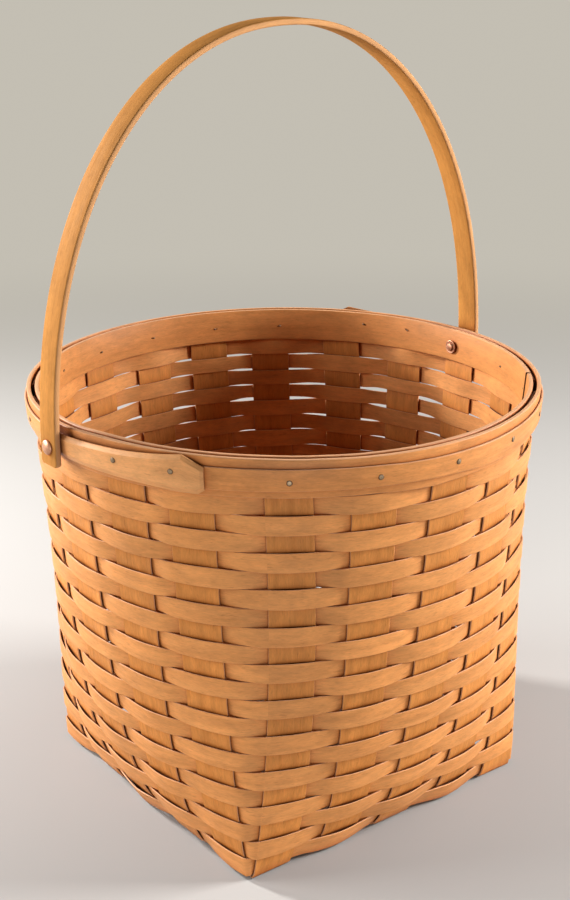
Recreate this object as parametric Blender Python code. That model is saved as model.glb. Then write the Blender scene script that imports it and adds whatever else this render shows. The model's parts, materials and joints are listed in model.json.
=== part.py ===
"""A swing-handle splint basket: square plaited base, round rim, bent handle on two rivets."""

import math

import bmesh
import bpy
from mathutils import Matrix, Vector

# Basket, metres
RIM_RADIUS = 0.1524
BASKET_HEIGHT = 0.2570
SIDES = 4
STAKES_PER_SIDE = 5

# Flat splints of the base and the walls
STAKE_WIDTH = 0.0254
STAKE_THICKNESS = 0.0010
STAKE_GAP = 0.0188
STAKE_TOP_DROP = 0.0020
CORNER_GAP = 0.0011
BEND_LEAD = 0.0006
CROSSING_MARGIN = 0.0010

# How the wall opens from the square base to the round rim
QUICK_FLARE_SHARE = 0.55
QUICK_FLARE_HEIGHT = 0.038
CORNER_DRAW_IN = 0.0050
RIM_LEAN = 0.08

# Weaving
WEAVER_THICKNESS = 0.0009
ROWS = 21
ROW_GAP = 0.0005
WEAVE_CLEARANCE = 0.0004
WEAVER_TURN_MARGIN = 0.0010
FINE_LEVELS = 7
COARSE_LEVEL_STEP = 2
PROFILE_PROBE = 0.0005

# Rim
BAND_HEIGHT = 0.0208
BAND_THICKNESS = 0.0025
TRIM_HEIGHT = 0.0113
TRIM_THICKNESS = 0.0015
TRIM_TOP_DROP = 0.0055
RIM_SEGMENTS = 80

# Ears, the backing strips behind the handle
EAR_REACH = 0.1030
EAR_START = 0.0105
EAR_THICKNESS = 0.0024
EAR_START_TOP_DROP = 0.0038
EAR_START_BOTTOM_DROP = 0.0170
EAR_END_TOP_DROP = 0.0004
EAR_END_BOTTOM_DROP = 0.0194
EAR_TAPER_EXPONENT = 3
EAR_TOP_CLIP_LENGTH = 0.0120
EAR_TOP_CLIP_HEIGHT = 0.0060
EAR_BOTTOM_CLIP_LENGTH = 0.0040
EAR_BOTTOM_CLIP_HEIGHT = 0.0025
EAR_SEGMENTS = 16

# Handle
HANDLE_WIDTH = 0.0160
HANDLE_THICKNESS = 0.0036
HANDLE_RISE = 0.2150
HANDLE_ARCH_EXPONENT = 2.13
HANDLE_TAIL = 0.0104
HANDLE_CHAMFER = 0.0008
HANDLE_END_CLIP = 0.0020
HANDLE_SEGMENTS = 48
PIVOT_DROP = 0.0115
PIVOT_LINE_OFFSET = 0.0041
PIVOT_LINE_SKEW = math.radians(1.5)

# Rivets and washers
RIVET_RADIUS = 0.0018
RIVET_HEAD_RADIUS = 0.0042
RIVET_HEAD_HEIGHT = 0.0016
RIVET_TAIL_RADIUS = 0.0026
RIVET_TAIL_HEIGHT = 0.0008
RIVET_SIDES = 16
WASHER_RADIUS = 0.0043
WASHER_THICKNESS = 0.0008

# Nails
NAIL_RADIUS = 0.0008
NAIL_HEAD_RADIUS = 0.0016
NAIL_HEAD_HEIGHT = 0.0006
NAIL_TIP = 0.0008
NAIL_SIDES = 8
NAIL_HOLE_SIDES = 6
NAIL_HOLE_RADIUS = 0.0013
EAR_NAIL_DROP = 0.0075
EAR_END_NAIL_DISTANCE = 0.0803

# Fits
CLEARANCE = 0.0003
CURVE_CLEARANCE = 0.0004
HOLE_OVERRUN = 0.0020
SMOOTH_ANGLE = math.radians(35)

# Worked out from the sizes above
HALF = 0.5
QUARTER_TURN = math.tau / SIDES
STAKE_TURN = QUARTER_TURN / STAKES_PER_SIDE
LAST_PLACE = (STAKES_PER_SIDE - 1) * HALF
PLACES = [index - LAST_PLACE for index in range(STAKES_PER_SIDE)]
STAKE_PITCH = STAKE_WIDTH + STAKE_GAP
CROSSING_RISE = (STAKE_THICKNESS + CLEARANCE) * HALF
BASE_MIDDLE = STAKE_THICKNESS + CLEARANCE * HALF
BASE_TOP = BASE_MIDDLE + CROSSING_RISE + STAKE_THICKNESS * HALF
BASE_HALF = LAST_PLACE * STAKE_PITCH + STAKE_WIDTH * HALF
FACE_DISTANCE = BASE_HALF + STAKE_THICKNESS * HALF + CORNER_GAP
BAND_BOTTOM = BASKET_HEIGHT - BAND_HEIGHT
ROWS_START = BASE_TOP + WEAVE_CLEARANCE
ROW_PITCH = (BAND_BOTTOM - ROWS_START) / ROWS
STAKE_TOP = BASKET_HEIGHT - STAKE_TOP_DROP
WEAVE_OFFSET = (STAKE_THICKNESS + WEAVER_THICKNESS) * HALF + WEAVE_CLEARANCE
WEAVER_REACH = STAKE_WIDTH * HALF + WEAVER_TURN_MARGIN
CHORD_RISE = (STAKE_WIDTH * HALF) ** 2 * HALF / RIM_RADIUS
OUTER_BAND_OFFSET = STAKE_THICKNESS * HALF + CHORD_RISE + CURVE_CLEARANCE
INNER_BAND_OFFSET = -(STAKE_THICKNESS * HALF + CURVE_CLEARANCE + BAND_THICKNESS)
TRIM_OFFSET = OUTER_BAND_OFFSET + BAND_THICKNESS + CLEARANCE
EAR_OFFSET = TRIM_OFFSET + TRIM_THICKNESS + CURVE_CLEARANCE
EAR_OUTSIDE = EAR_OFFSET + EAR_THICKNESS
STAKE_RADIUS = RIM_RADIUS - BAND_THICKNESS - OUTER_BAND_OFFSET
TRIM_TOP = BASKET_HEIGHT - TRIM_TOP_DROP
TRIM_BOTTOM = TRIM_TOP - TRIM_HEIGHT
TRIM_MIDDLE = (TRIM_TOP + TRIM_BOTTOM) * HALF
EAR_START_TOP = BASKET_HEIGHT - EAR_START_TOP_DROP
EAR_START_BOTTOM = BASKET_HEIGHT - EAR_START_BOTTOM_DROP
PIVOT_HEIGHT = BASKET_HEIGHT - PIVOT_DROP
RIVET_HOLE_RADIUS = RIVET_RADIUS + CLEARANCE
PIVOT_LINE_TURN = QUARTER_TURN + PIVOT_LINE_SKEW
PIVOT_LEAN = math.atan(PIVOT_LINE_OFFSET / RIM_RADIUS)
PIVOT_TURNS = {"right": PIVOT_LINE_TURN + PIVOT_LEAN, "left": PIVOT_LINE_TURN + math.pi - PIVOT_LEAN}
HANDLE_SIDES = {"right": 1, "left": 3}


def clear_scene():
    for obj in list(bpy.data.objects):
        bpy.data.objects.remove(obj, do_unlink=True)


def make_material(name, colour, roughness, metallic=0.0):
    material = bpy.data.materials.new(name)
    material.use_nodes = True
    shader = material.node_tree.nodes["Principled BSDF"]
    shader.inputs["Base Color"].default_value = (*colour, 1.0)
    shader.inputs["Roughness"].default_value = roughness
    shader.inputs["Metallic"].default_value = metallic
    material.diffuse_color = (*colour, 1.0)
    return material


def finish(name, mesh_data, material, smooth=True):
    """Turn a bmesh into a named object with outward faces."""
    bmesh.ops.recalc_face_normals(mesh_data, faces=mesh_data.faces)
    mesh = bpy.data.meshes.new(name)
    mesh_data.to_mesh(mesh)
    mesh_data.free()
    if smooth:
        mesh.shade_smooth()
        mesh.set_sharp_from_angle(angle=SMOOTH_ANGLE)
    mesh.materials.append(material)
    obj = bpy.data.objects.new(name, mesh)
    bpy.context.scene.collection.objects.link(obj)
    return obj


def loft(name, sections, material, closed=False):
    """Skin a run of equal cross-sections with triangles.

    The first half of each section is its outer side. Both sides split their quads along the
    same diagonal, so two twisted strips that lie on each other stay parallel.
    """
    work = bmesh.new()
    rings = [[work.verts.new(point) for point in section] for section in sections]
    count = len(rings[0])
    pairs = list(zip(rings, rings[1:] + rings[:1])) if closed else list(zip(rings, rings[1:]))
    for ring, following in pairs:
        for corner in range(count):
            after = (corner + 1) % count
            a, b, c, d = ring[corner], following[corner], following[after], ring[after]
            if corner < count // 2:
                work.faces.new((a, b, c))
                work.faces.new((a, c, d))
            else:
                work.faces.new((a, b, d))
                work.faces.new((b, c, d))
    if not closed:
        work.faces.new(rings[0])
        work.faces.new(rings[-1])
    return finish(name, work, material)


def turn_profile(name, profile, sides, material, frame):
    """Spin (radius, height) points about the frame's Z axis; a radius of zero closes an end."""
    work = bmesh.new()
    rings = []
    for radius, height in profile:
        if radius == 0:
            rings.append([work.verts.new(frame @ Vector((0, 0, height)))])
            continue
        ring = []
        for index in range(sides):
            angle = math.tau * index / sides
            point = Vector((radius * math.cos(angle), radius * math.sin(angle), height))
            ring.append(work.verts.new(frame @ point))
        rings.append(ring)
    for ring, following in zip(rings, rings[1:]):
        for index in range(sides):
            after = (index + 1) % sides
            corners = [ring[index % len(ring)], following[index % len(following)],
                       following[after % len(following)], ring[after % len(ring)]]
            work.faces.new(list(dict.fromkeys(corners)))
    return finish(name, work, material)


def flare_share(rise):
    """How far the wall has opened out, for a height given as a share of the weaving's."""
    quick = 1 - math.exp(-rise * BAND_BOTTOM / QUICK_FLARE_HEIGHT)
    whole_quick = 1 - math.exp(-BAND_BOTTOM / QUICK_FLARE_HEIGHT)
    return QUICK_FLARE_SHARE * quick / whole_quick + (1 - QUICK_FLARE_SHARE) * rise


def round_radius(z):
    """Radius of the stakes' middle where the wall is fully round; it leans out upwards."""
    return STAKE_RADIUS - RIM_LEAN * (BASKET_HEIGHT - z)


def axes_at(turn):
    """Outward direction at an angle from the front, and the direction to the right along the wall."""
    return Vector((math.sin(turn), -math.cos(turn), 0)), Vector((math.cos(turn), math.sin(turn), 0))


def stake_line(side, place, z):
    """Middle of a stake at height z, and the level direction across it.

    The stakes rise almost straight at the corners and bow outwards in the middle of each side.
    """
    flat_out, flat_along = axes_at(side * QUARTER_TURN)
    round_along = axes_at(side * QUARTER_TURN + place * STAKE_TURN)[1]
    radius = round_radius(max(z, BAND_BOTTOM))
    rise = min(max(z, 0) / BAND_BOTTOM, 1)
    share = flare_share(rise)
    outward = FACE_DISTANCE + (radius * math.cos(place * STAKE_TURN) - FACE_DISTANCE) * share
    bow = 4 * rise * (1 - rise)
    draw_in = CORNER_DRAW_IN * bow * place * abs(place) / LAST_PLACE ** 2
    sideways = (1 - rise) * place * STAKE_PITCH + rise * radius * math.sin(place * STAKE_TURN) - draw_in
    middle = flat_out * outward + flat_along * sideways
    middle.z = z
    return middle, flat_along.lerp(round_along, share).normalized()


def stake_frame(side, place, z):
    """Middle of a stake at height z, the direction across it and its outward direction."""
    middle, across = stake_line(side, place, z)
    below = stake_line(side, place, z - PROFILE_PROBE)[0]
    above = stake_line(side, place, z + PROFILE_PROBE)[0]
    return middle, across, across.cross(above - below).normalized()


def row_level(index):
    """Height of the boundary under row number index, counted up from the base."""
    return ROWS_START + index * ROW_PITCH


def wall_levels():
    """Heights where a stake bends: every row boundary near the base, every second one above."""
    fine = range(min(FINE_LEVELS, ROWS))
    coarse = range(FINE_LEVELS, ROWS, COARSE_LEVEL_STEP)
    return [row_level(index) for index in (*fine, *coarse, ROWS)] + [STAKE_TOP]


def lies_over(family, index, crossing):
    """Whether a base strip lies over the strip that it crosses, counting both from their first."""
    if family == "x":
        return (index + crossing) % 2 == 0
    return (index + crossing + STAKES_PER_SIDE) % 2 == 0


def strip_path(family, index):
    """Points (middle, across) of one splint, down one wall, over the base and up the other."""
    end_side = 1 if family == "x" else 2
    start_side = (end_side + SIDES // 2) % SIDES
    run, along = axes_at(end_side * QUARTER_TURN)
    place = PLACES[index]
    levels = wall_levels()
    path = []
    for z in reversed(levels):
        middle, across = stake_line(start_side, -place, z)
        path.append((middle, -across))
    bend = FACE_DISTANCE - BEND_LEAD
    reach = STAKE_WIDTH * HALF + CROSSING_MARGIN
    for crossing, crossed in enumerate(PLACES):
        z = BASE_MIDDLE + (CROSSING_RISE if lies_over(family, index, crossing) else -CROSSING_RISE)
        start = -bend if crossed == PLACES[0] else crossed * STAKE_PITCH - reach
        stop = bend if crossed == PLACES[-1] else crossed * STAKE_PITCH + reach
        for distance in (start, stop):
            middle = run * distance + along * (place * STAKE_PITCH)
            middle.z = z
            path.append((middle, along))
    for z in levels:
        path.append(stake_line(end_side, place, z))
    return path


def strip_sections(path):
    """Square-cut sections along a splint, mitred at each bend."""
    normals = []
    for (middle, across), (following, _) in zip(path, path[1:]):
        normals.append(across.cross(following - middle).normalized())
    sections = []
    for index, (middle, across) in enumerate(path):
        before = normals[max(index - 1, 0)]
        after = normals[min(index, len(normals) - 1)]
        outward = (before + after).normalized()
        outward /= outward.dot(after)
        side = across * (STAKE_WIDTH * HALF)
        depth = outward * (STAKE_THICKNESS * HALF)
        sections.append([middle - side + depth, middle + side + depth,
                         middle + side - depth, middle - side - depth])
    return sections


def make_base_strips(material):
    strips = []
    for family in ("x", "y"):
        for index in range(STAKES_PER_SIDE):
            sections = strip_sections(strip_path(family, index))
            strips.append(loft(f"base_strip_{family}_{index + 1}", sections, material))
    return strips


def weaver_section(side, place, hand, bottom, top, offset):
    """Cross-section of a weaver beside one edge of a stake; hand is -1 for its left edge."""
    points = []
    for z in (bottom, top):
        middle, across, outward = stake_frame(side, place, z)
        centre = middle + across * (hand * WEAVER_REACH) + outward * offset
        depth = outward * (WEAVER_THICKNESS * HALF)
        points.append((centre + depth, centre - depth))
    (low_out, low_in), (high_out, high_in) = points
    return [low_out, high_out, high_in, low_in]


def make_weaver(name, bottom, top, row, material):
    """One closed ring that goes over every second stake and under the others."""
    sections = []
    for side in range(SIDES):
        for index, place in enumerate(PLACES):
            over = (side * STAKES_PER_SIDE + index + row) % 2 == 0
            offset = WEAVE_OFFSET if over else -WEAVE_OFFSET
            for hand in (-1, 1):
                sections.append(weaver_section(side, place, hand, bottom, top, offset))
    return loft(name, sections, material, closed=True)


def make_weavers(material):
    for row in range(1, ROWS + 1):
        index = ROWS - row
        make_weaver(f"weaver_{row:02d}", row_level(index), row_level(index + 1) - ROW_GAP, row, material)


def rim_section(turn, offset, thickness, bottom, top):
    """Cross-section of a hoop that lies against the leaning top of the wall."""
    outward, _ = axes_at(turn)
    points = []
    for z, depth in ((bottom, thickness), (top, thickness), (top, 0), (bottom, 0)):
        point = outward * (round_radius(z) + offset + depth)
        point.z = z
        points.append(point)
    return points


def make_hoop(name, offset, thickness, bottom, top, material):
    turns = [math.tau * index / RIM_SEGMENTS for index in range(RIM_SEGMENTS)]
    sections = [rim_section(turn, offset, thickness, bottom, top) for turn in turns]
    return loft(name, sections, material, closed=True)


def make_ear(name, pivot_turn, material):
    """Strip that starts behind the handle, widens and ends in two clipped corners."""
    radius = round_radius(EAR_START_TOP) + EAR_OUTSIDE
    first = pivot_turn - EAR_START / radius
    last = pivot_turn + EAR_REACH / radius
    top_start = last - EAR_TOP_CLIP_LENGTH / radius
    bottom_start = last - EAR_BOTTOM_CLIP_LENGTH / radius
    full = min(top_start, bottom_start)
    turns = [first + (full - first) * step / EAR_SEGMENTS for step in range(EAR_SEGMENTS + 1)]
    turns += [max(top_start, bottom_start), last]
    sections = []
    for turn in turns:
        wider = min((turn - first) / (full - first), 1) ** EAR_TAPER_EXPONENT
        top = EAR_START_TOP + (EAR_START_TOP_DROP - EAR_END_TOP_DROP) * wider
        bottom = EAR_START_BOTTOM - (EAR_END_BOTTOM_DROP - EAR_START_BOTTOM_DROP) * wider
        top -= EAR_TOP_CLIP_HEIGHT * max(turn - top_start, 0) / (last - top_start)
        bottom += EAR_BOTTOM_CLIP_HEIGHT * max(turn - bottom_start, 0) / (last - bottom_start)
        sections.append(rim_section(turn, EAR_OFFSET, EAR_THICKNESS, bottom, top))
    return loft(name, sections, material)


def power(value, exponent):
    return math.copysign(abs(value) ** exponent, value)


def handle_path():
    """Points (distance from the middle, height over the pivots, half width) of the bent strip."""
    half_width = HANDLE_WIDTH * HALF
    middle = handle_leg_distance()
    leg = [(middle, -HANDLE_TAIL, half_width - HANDLE_END_CLIP),
           (middle, -HANDLE_TAIL + HANDLE_END_CLIP, half_width)]
    arch = []
    exponent = 2 / HANDLE_ARCH_EXPONENT
    for step in range(HANDLE_SEGMENTS + 1):
        angle = math.pi * step / HANDLE_SEGMENTS
        arch.append((middle * power(math.cos(angle), exponent),
                     HANDLE_RISE * power(math.sin(angle), exponent), half_width))
    other_leg = [(-x, z, width) for x, z, width in reversed(leg)]
    return leg + arch + other_leg


def handle_leg_distance():
    """Distance of a leg's middle from the basket's axis, clear of the ear's leaning top edge."""
    return round_radius(EAR_START_TOP) + EAR_OUTSIDE + CLEARANCE + HANDLE_THICKNESS * HALF


def make_handle(material):
    path = handle_path()
    sections = []
    for index, (x, z, half_width) in enumerate(path):
        before = path[max(index - 1, 0)]
        after = path[min(index + 1, len(path) - 1)]
        run = Vector((after[0] - before[0], 0, after[1] - before[1])).normalized()
        outward = Vector((run.z, 0, -run.x)) * (HANDLE_THICKNESS * HALF)
        inset = outward * (1 - HANDLE_CHAMFER / (HANDLE_THICKNESS * HALF))
        wide = Vector((0, half_width, 0))
        narrow = Vector((0, half_width - HANDLE_CHAMFER, 0))
        middle = Vector((x, 0, z))
        sections.append([middle + outward - narrow, middle + outward + narrow,
                         middle + inset + wide, middle - inset + wide,
                         middle - outward + narrow, middle - outward - narrow,
                         middle - inset - wide, middle + inset - wide])
    handle = loft("handle", sections, material)
    handle.location = pivot_line_foot()
    handle.rotation_euler = (0, 0, PIVOT_LINE_SKEW)
    return handle


def outward_frame(turn, foot):
    """Frame at a point near the basket's axis whose Z axis points level and outwards."""
    outward, along = axes_at(turn)
    up = outward.cross(along)
    frame = Matrix((along, up, outward)).transposed().to_4x4()
    frame.translation = foot
    return frame


def pivot_line_foot():
    """Middle of the line through both pivots, which passes a little behind the basket's axis."""
    foot = axes_at(PIVOT_LINE_TURN)[1] * PIVOT_LINE_OFFSET
    foot.z = PIVOT_HEIGHT
    return foot


def pivot_frame(name):
    """Frame on the pivot line whose Z axis points out through the left or the right leg."""
    turn = PIVOT_LINE_TURN if name == "right" else PIVOT_LINE_TURN + math.pi
    return outward_frame(turn, pivot_line_foot())


def hidden_cutter(name, frames, radius, sides, start, stop):
    """One wire-shown cutter made of straight round bars along the frames' Z axes."""
    work = bmesh.new()
    depth = stop - start
    for frame in frames:
        placed = frame @ Matrix.Translation((0, 0, start + depth * HALF))
        bmesh.ops.create_cone(work, cap_ends=True, segments=sides, radius1=radius, radius2=radius,
                              depth=depth, matrix=placed)
    mesh = bpy.data.meshes.new(name)
    work.to_mesh(mesh)
    work.free()
    cutter = bpy.data.objects.new(name, mesh)
    bpy.context.scene.collection.objects.link(cutter)
    cutter.hide_render = True
    cutter.display_type = "WIRE"
    return cutter


def cut(obj, cutter):
    modifier = obj.modifiers.new(cutter.name, "BOOLEAN")
    modifier.operation = "DIFFERENCE"
    modifier.solver = "EXACT"
    modifier.object = cutter


def inner_band_face(z):
    """Radius of the inner hoop's inside at height z."""
    return round_radius(z) + INNER_BAND_OFFSET


def washer_seat():
    """Distance along the pivot line to the washer's outer face, clear of the hollow, leaning hoop."""
    lowest = inner_band_face(PIVOT_HEIGHT - WASHER_RADIUS)
    return math.sqrt(lowest ** 2 - (WASHER_RADIUS + PIVOT_LINE_OFFSET) ** 2) - CLEARANCE


def make_washer(name, frame, material):
    outer = washer_seat()
    inner = outer - WASHER_THICKNESS
    hole = RIVET_HOLE_RADIUS
    profile = [(hole, inner), (WASHER_RADIUS, inner), (WASHER_RADIUS, outer), (hole, outer)]
    return turn_ring(name, profile, material, frame)


def turn_ring(name, profile, material, frame):
    """Spin a closed outline that stays clear of the axis, for a washer."""
    work = bmesh.new()
    rings = []
    for index in range(RIVET_SIDES):
        angle = math.tau * index / RIVET_SIDES
        spoke = Vector((math.cos(angle), math.sin(angle), 0))
        rings.append([work.verts.new(frame @ (spoke * radius + Vector((0, 0, height))))
                      for radius, height in profile])
    for ring, following in zip(rings, rings[1:] + rings[:1]):
        for corner in range(len(profile)):
            after = (corner + 1) % len(profile)
            work.faces.new((ring[corner], following[corner], following[after], ring[after]))
    return finish(name, work, material)


def make_rivet(name, frame, material):
    """Domed head outside the handle, shank through the rim, peened tail over the washer."""
    head = handle_leg_distance() + HANDLE_THICKNESS * HALF + CLEARANCE
    tail = washer_seat() - WASHER_THICKNESS - CLEARANCE
    dome_shares = ((0.0, 1.0), (0.45, 0.88), (0.8, 0.55), (1.0, 0.12), (1.0, 0.0))
    profile = [(RIVET_HEAD_RADIUS * across, head + RIVET_HEAD_HEIGHT * up) for across, up in dome_shares]
    profile += [(RIVET_RADIUS, head), (RIVET_RADIUS, tail)]
    profile += [(RIVET_TAIL_RADIUS * across, tail - RIVET_TAIL_HEIGHT * up)
                for across, up in reversed(dome_shares)]
    return turn_profile(name, profile, RIVET_SIDES, material, frame)


def make_nail(name, turn, z, seat, material):
    """Small nail whose head rests at the seat radius; its tip just shows inside the rim."""
    tip = inner_band_face(z) - NAIL_TIP
    profile = [(0, seat + NAIL_HEAD_HEIGHT), (NAIL_HEAD_RADIUS, seat + NAIL_HEAD_HEIGHT * HALF),
               (NAIL_HEAD_RADIUS, seat), (NAIL_RADIUS, seat), (NAIL_RADIUS, tip + NAIL_RADIUS), (0, tip)]
    frame = outward_frame(turn, Vector((0, 0, z)))
    turn_profile(name, profile, NAIL_SIDES, material, frame)
    return frame


def leaning_seat(z, offset):
    """Radius where a flat head clears a leaning surface at height z."""
    return round_radius(z + NAIL_HEAD_RADIUS) + offset + CLEARANCE


def trim_nail_turns():
    """One nail at each stake, but for those that the handle and its ears cover."""
    turns = []
    for side in range(SIDES):
        for place in PLACES:
            covered = side in HANDLE_SIDES.values() and place > -HALF
            if not covered:
                turns.append(side * QUARTER_TURN + place * STAKE_TURN)
    return turns


def make_nails(material):
    """All the nails; returns their frames for the holes."""
    frames = []
    seat = leaning_seat(TRIM_MIDDLE, TRIM_OFFSET + TRIM_THICKNESS)
    for number, turn in enumerate(trim_nail_turns(), start=1):
        frames.append(make_nail(f"nail_trim_{number}", turn, TRIM_MIDDLE, seat, material))
    z = BASKET_HEIGHT - EAR_NAIL_DROP
    seat = leaning_seat(z, EAR_OUTSIDE)
    for name, side in HANDLE_SIDES.items():
        for number, step in enumerate((STAKE_TURN, EAR_END_NAIL_DISTANCE / RIM_RADIUS), start=1):
            turn = side * QUARTER_TURN + step
            frames.append(make_nail(f"nail_ear_{name}_{number}", turn, z, seat, material))
    return frames


def build():
    clear_scene()
    wood = make_material("maple_splint", (0.72, 0.40, 0.17), 0.55)
    weaver_wood = make_material("weaver_splint", (0.76, 0.44, 0.20), 0.55)
    rim_wood = make_material("rim_maple", (0.74, 0.43, 0.19), 0.45)
    handle_wood = make_material("handle_maple", (0.78, 0.50, 0.25), 0.40)
    copper = make_material("copper", (0.48, 0.26, 0.16), 0.40, 1.0)
    nail_metal = make_material("nail_brass", (0.55, 0.42, 0.27), 0.38, 1.0)

    strips = make_base_strips(wood)
    make_weavers(weaver_wood)
    bands = (BAND_THICKNESS, BAND_BOTTOM, BASKET_HEIGHT, rim_wood)
    hoops = [make_hoop("rim_band_inner", INNER_BAND_OFFSET, *bands),
             make_hoop("rim_band_outer", OUTER_BAND_OFFSET, *bands),
             make_hoop("rim_trim", TRIM_OFFSET, TRIM_THICKNESS, TRIM_BOTTOM, TRIM_TOP, rim_wood)]
    handle = make_handle(handle_wood)
    ears = []
    for name in HANDLE_SIDES:
        ears.append(make_ear(f"ear_{name}", PIVOT_TURNS[name], rim_wood))
        make_rivet(f"rivet_{name}", pivot_frame(name), copper)
        make_washer(f"rivet_washer_{name}", pivot_frame(name), copper)

    start = inner_band_face(BAND_BOTTOM) - HOLE_OVERRUN
    stop = handle_leg_distance() + HANDLE_THICKNESS + HOLE_OVERRUN
    nail_frames = make_nails(nail_metal)
    nail_holes = hidden_cutter("nail_holes", nail_frames, NAIL_HOLE_RADIUS, NAIL_HOLE_SIDES, start, stop)
    rivet_frames = [pivot_frame(name) for name in HANDLE_SIDES]
    corner_radius = RIVET_HOLE_RADIUS / math.cos(math.pi / RIVET_SIDES)
    rivet_holes = hidden_cutter("rivet_holes", rivet_frames, corner_radius, RIVET_SIDES, start, stop)
    for obj in strips + ears + hoops:
        cut(obj, nail_holes)
        cut(obj, rivet_holes)
    cut(handle, rivet_holes)


build()
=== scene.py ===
"""Swing-handle splint basket: woven walls, rim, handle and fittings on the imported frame."""
import json
import math
import random

import bpy
from bpy.props import FloatProperty, FloatVectorProperty, PointerProperty
from bpy.types import NodeSocket, Operator, Panel, PropertyGroup
from mathutils import Matrix, Vector, noise

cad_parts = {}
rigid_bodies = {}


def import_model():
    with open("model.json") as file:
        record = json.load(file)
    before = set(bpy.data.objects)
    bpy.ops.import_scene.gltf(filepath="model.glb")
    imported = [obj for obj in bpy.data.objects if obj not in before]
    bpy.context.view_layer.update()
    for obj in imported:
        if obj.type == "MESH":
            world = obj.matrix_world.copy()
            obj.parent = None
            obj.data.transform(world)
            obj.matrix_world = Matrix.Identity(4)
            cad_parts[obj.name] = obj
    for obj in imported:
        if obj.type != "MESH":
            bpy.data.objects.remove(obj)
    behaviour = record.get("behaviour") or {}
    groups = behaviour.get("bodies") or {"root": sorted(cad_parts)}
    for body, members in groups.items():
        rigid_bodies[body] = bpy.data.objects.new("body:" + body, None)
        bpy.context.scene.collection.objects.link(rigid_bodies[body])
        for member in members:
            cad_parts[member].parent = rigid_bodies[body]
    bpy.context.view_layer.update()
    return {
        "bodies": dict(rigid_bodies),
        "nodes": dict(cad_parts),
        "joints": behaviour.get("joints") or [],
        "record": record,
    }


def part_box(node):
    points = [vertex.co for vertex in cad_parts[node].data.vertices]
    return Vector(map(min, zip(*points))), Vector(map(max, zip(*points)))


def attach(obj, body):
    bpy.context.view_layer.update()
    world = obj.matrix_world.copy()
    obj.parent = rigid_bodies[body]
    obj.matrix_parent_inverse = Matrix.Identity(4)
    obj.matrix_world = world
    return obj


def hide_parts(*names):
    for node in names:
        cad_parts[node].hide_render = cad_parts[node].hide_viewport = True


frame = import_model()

bl_info = {
    "name": "Swing-handle splint basket",
    "version": (1, 0, 0),
    "blender": (4, 5, 0),
    "location": "3D View > Sidebar > Basket",
    "description": "Builds a woven splint basket with its rim, ears, handle, rivets and nails",
    "category": "Add Mesh",
}

SIDES = 4
STAKES_PER_SIDE = 5
STAKES = SIDES * STAKES_PER_SIDE
ROWS = 21
LAST_PLACE = (STAKES_PER_SIDE - 1) / 2
QUARTER_TURN = math.tau / SIDES
STAKE_TURN = QUARTER_TURN / STAKES_PER_SIDE
UP = Vector((0, 0, 1))
SMOOTH_ANGLE = math.radians(32)
CHAMFER_ANGLE = math.radians(12)

# Sides of the basket on which the handle's legs stand, counted from the front
HANDLE_SIDES = {"right": 1, "left": 3}

# Room between pieces that lie against each other, so that none cut into one another, metres
CROSSING_GAP = 0.0003
BAND_GAP = 0.0004
TRIM_GAP = 0.0003
EAR_GAP = 0.0004
LEG_GAP = 0.0003
WASHER_GAP = 0.0003
RIVET_GAP = 0.0002

# Radii of the rounded long edges, metres
WEAVER_EDGE = 0.00022
STAKE_EDGE = 0.00025
BAND_EDGE = 0.0007
TRIM_EDGE = 0.0006
HANDLE_EDGE = 0.0011

# Stakes, metres: their hidden end below the rim's top, their drift from even places, the step over
# which their lean is taken and the bend at their foot
STAKE_END_DROP = 0.0020
DRIFT_SPREAD = 0.0009
LEAN_STEP = 0.0005
FOOT_BEND = 0.0018

# How far a splint stays flat beyond the edges of the one that it crosses, as a share of the pitch
PLAIT_FLAT_SHARE = 0.03

# Steps of a splint's path along one row of the wall, along the base and round a bend
STEPS_PER_ROW = 4
BASE_STEPS = 60
BEND_STEPS = 4

# Seeds of the draws and of each piece's grain, and how they change from piece to piece
DRIFT_SEED = 7
LUCK_STRIDE = 31
SEED_STRIDES = (3.7, 1.3)
LEVEL_STRIDES = (0.9, 0.8)
BULGE_STRIDE = 1.7
SPLINT_SEEDS = {"x": 40, "y": 60}
SPLINT_SEED_STEP = 2.3
WEAVER_SEED_STEP = 1.37
EAR_NAIL_SEED = 20
GRAIN_SEEDS = {
    "bent_handle": 70.0,
    "inner_hoop": 81.0,
    "outer_hoop": 83.0,
    "trim_hoop": 85.0,
    "left_ear": 94.0,
    "right_ear": 95.0,
}

# Rows: their lift at the foot, its growth with each row and the rows over which it ends at the top
LIFT_AT_FOOT = 0.4
LIFT_PER_ROW = 0.3
LIFT_TOP_ROWS = 4

# How steeply the rows come to follow the hoops, how far they wander, metres, and how their bulge varies
RIM_FOLLOW_POWER = 5
ROW_WANDER = 0.0007
BULGE_WANDER = 0.9

# Gaps between rows: the least share of the named gap, and the share that luck adds to it
GAP_SHARES = (0.35, 2.2)
BACK_GAP_SHARES = (0.1, 1.1)

# Steps of a row from the middle of a stake to its edge, and from one stake to the next
OVER_STEPS = 3
BETWEEN_STEPS = 8

# Steps round the rim, where the inner hoop laps, and how far round its proud end thins out
RIM_STEPS = 180
LAP_TURN = math.radians(52.5)
LAP_REACH = math.radians(24)

# Turns beside the joint, radians: what waves with it, its next ring, and what is cleared of other rings
LAP_NEAR_TURN = 0.002
LAP_NEXT_TURN = 0.003
LAP_CLEAR_TURN = 0.004

# Width of the joint's steep walls, and height over which its wave turns by one radian, metres
LAP_LIP = 0.0002
LAP_WAVE_PITCH = 0.0036

# Ears: how steeply they widen and how much of the rim's rise they follow
EAR_WIDENING_POWER = 3
EAR_RISE_SHARE = 0.6

# Length over which an ear thins out at its start and its end, and by how much, metres
EAR_START_EASE = 0.0010
EAR_END_EASE = 0.0018
EAR_END_THINNING = 0.0007

# Steps of an ear up to its clipped corner and along it
EAR_STEPS = 40
CLIP_STEPS = 12

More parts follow.
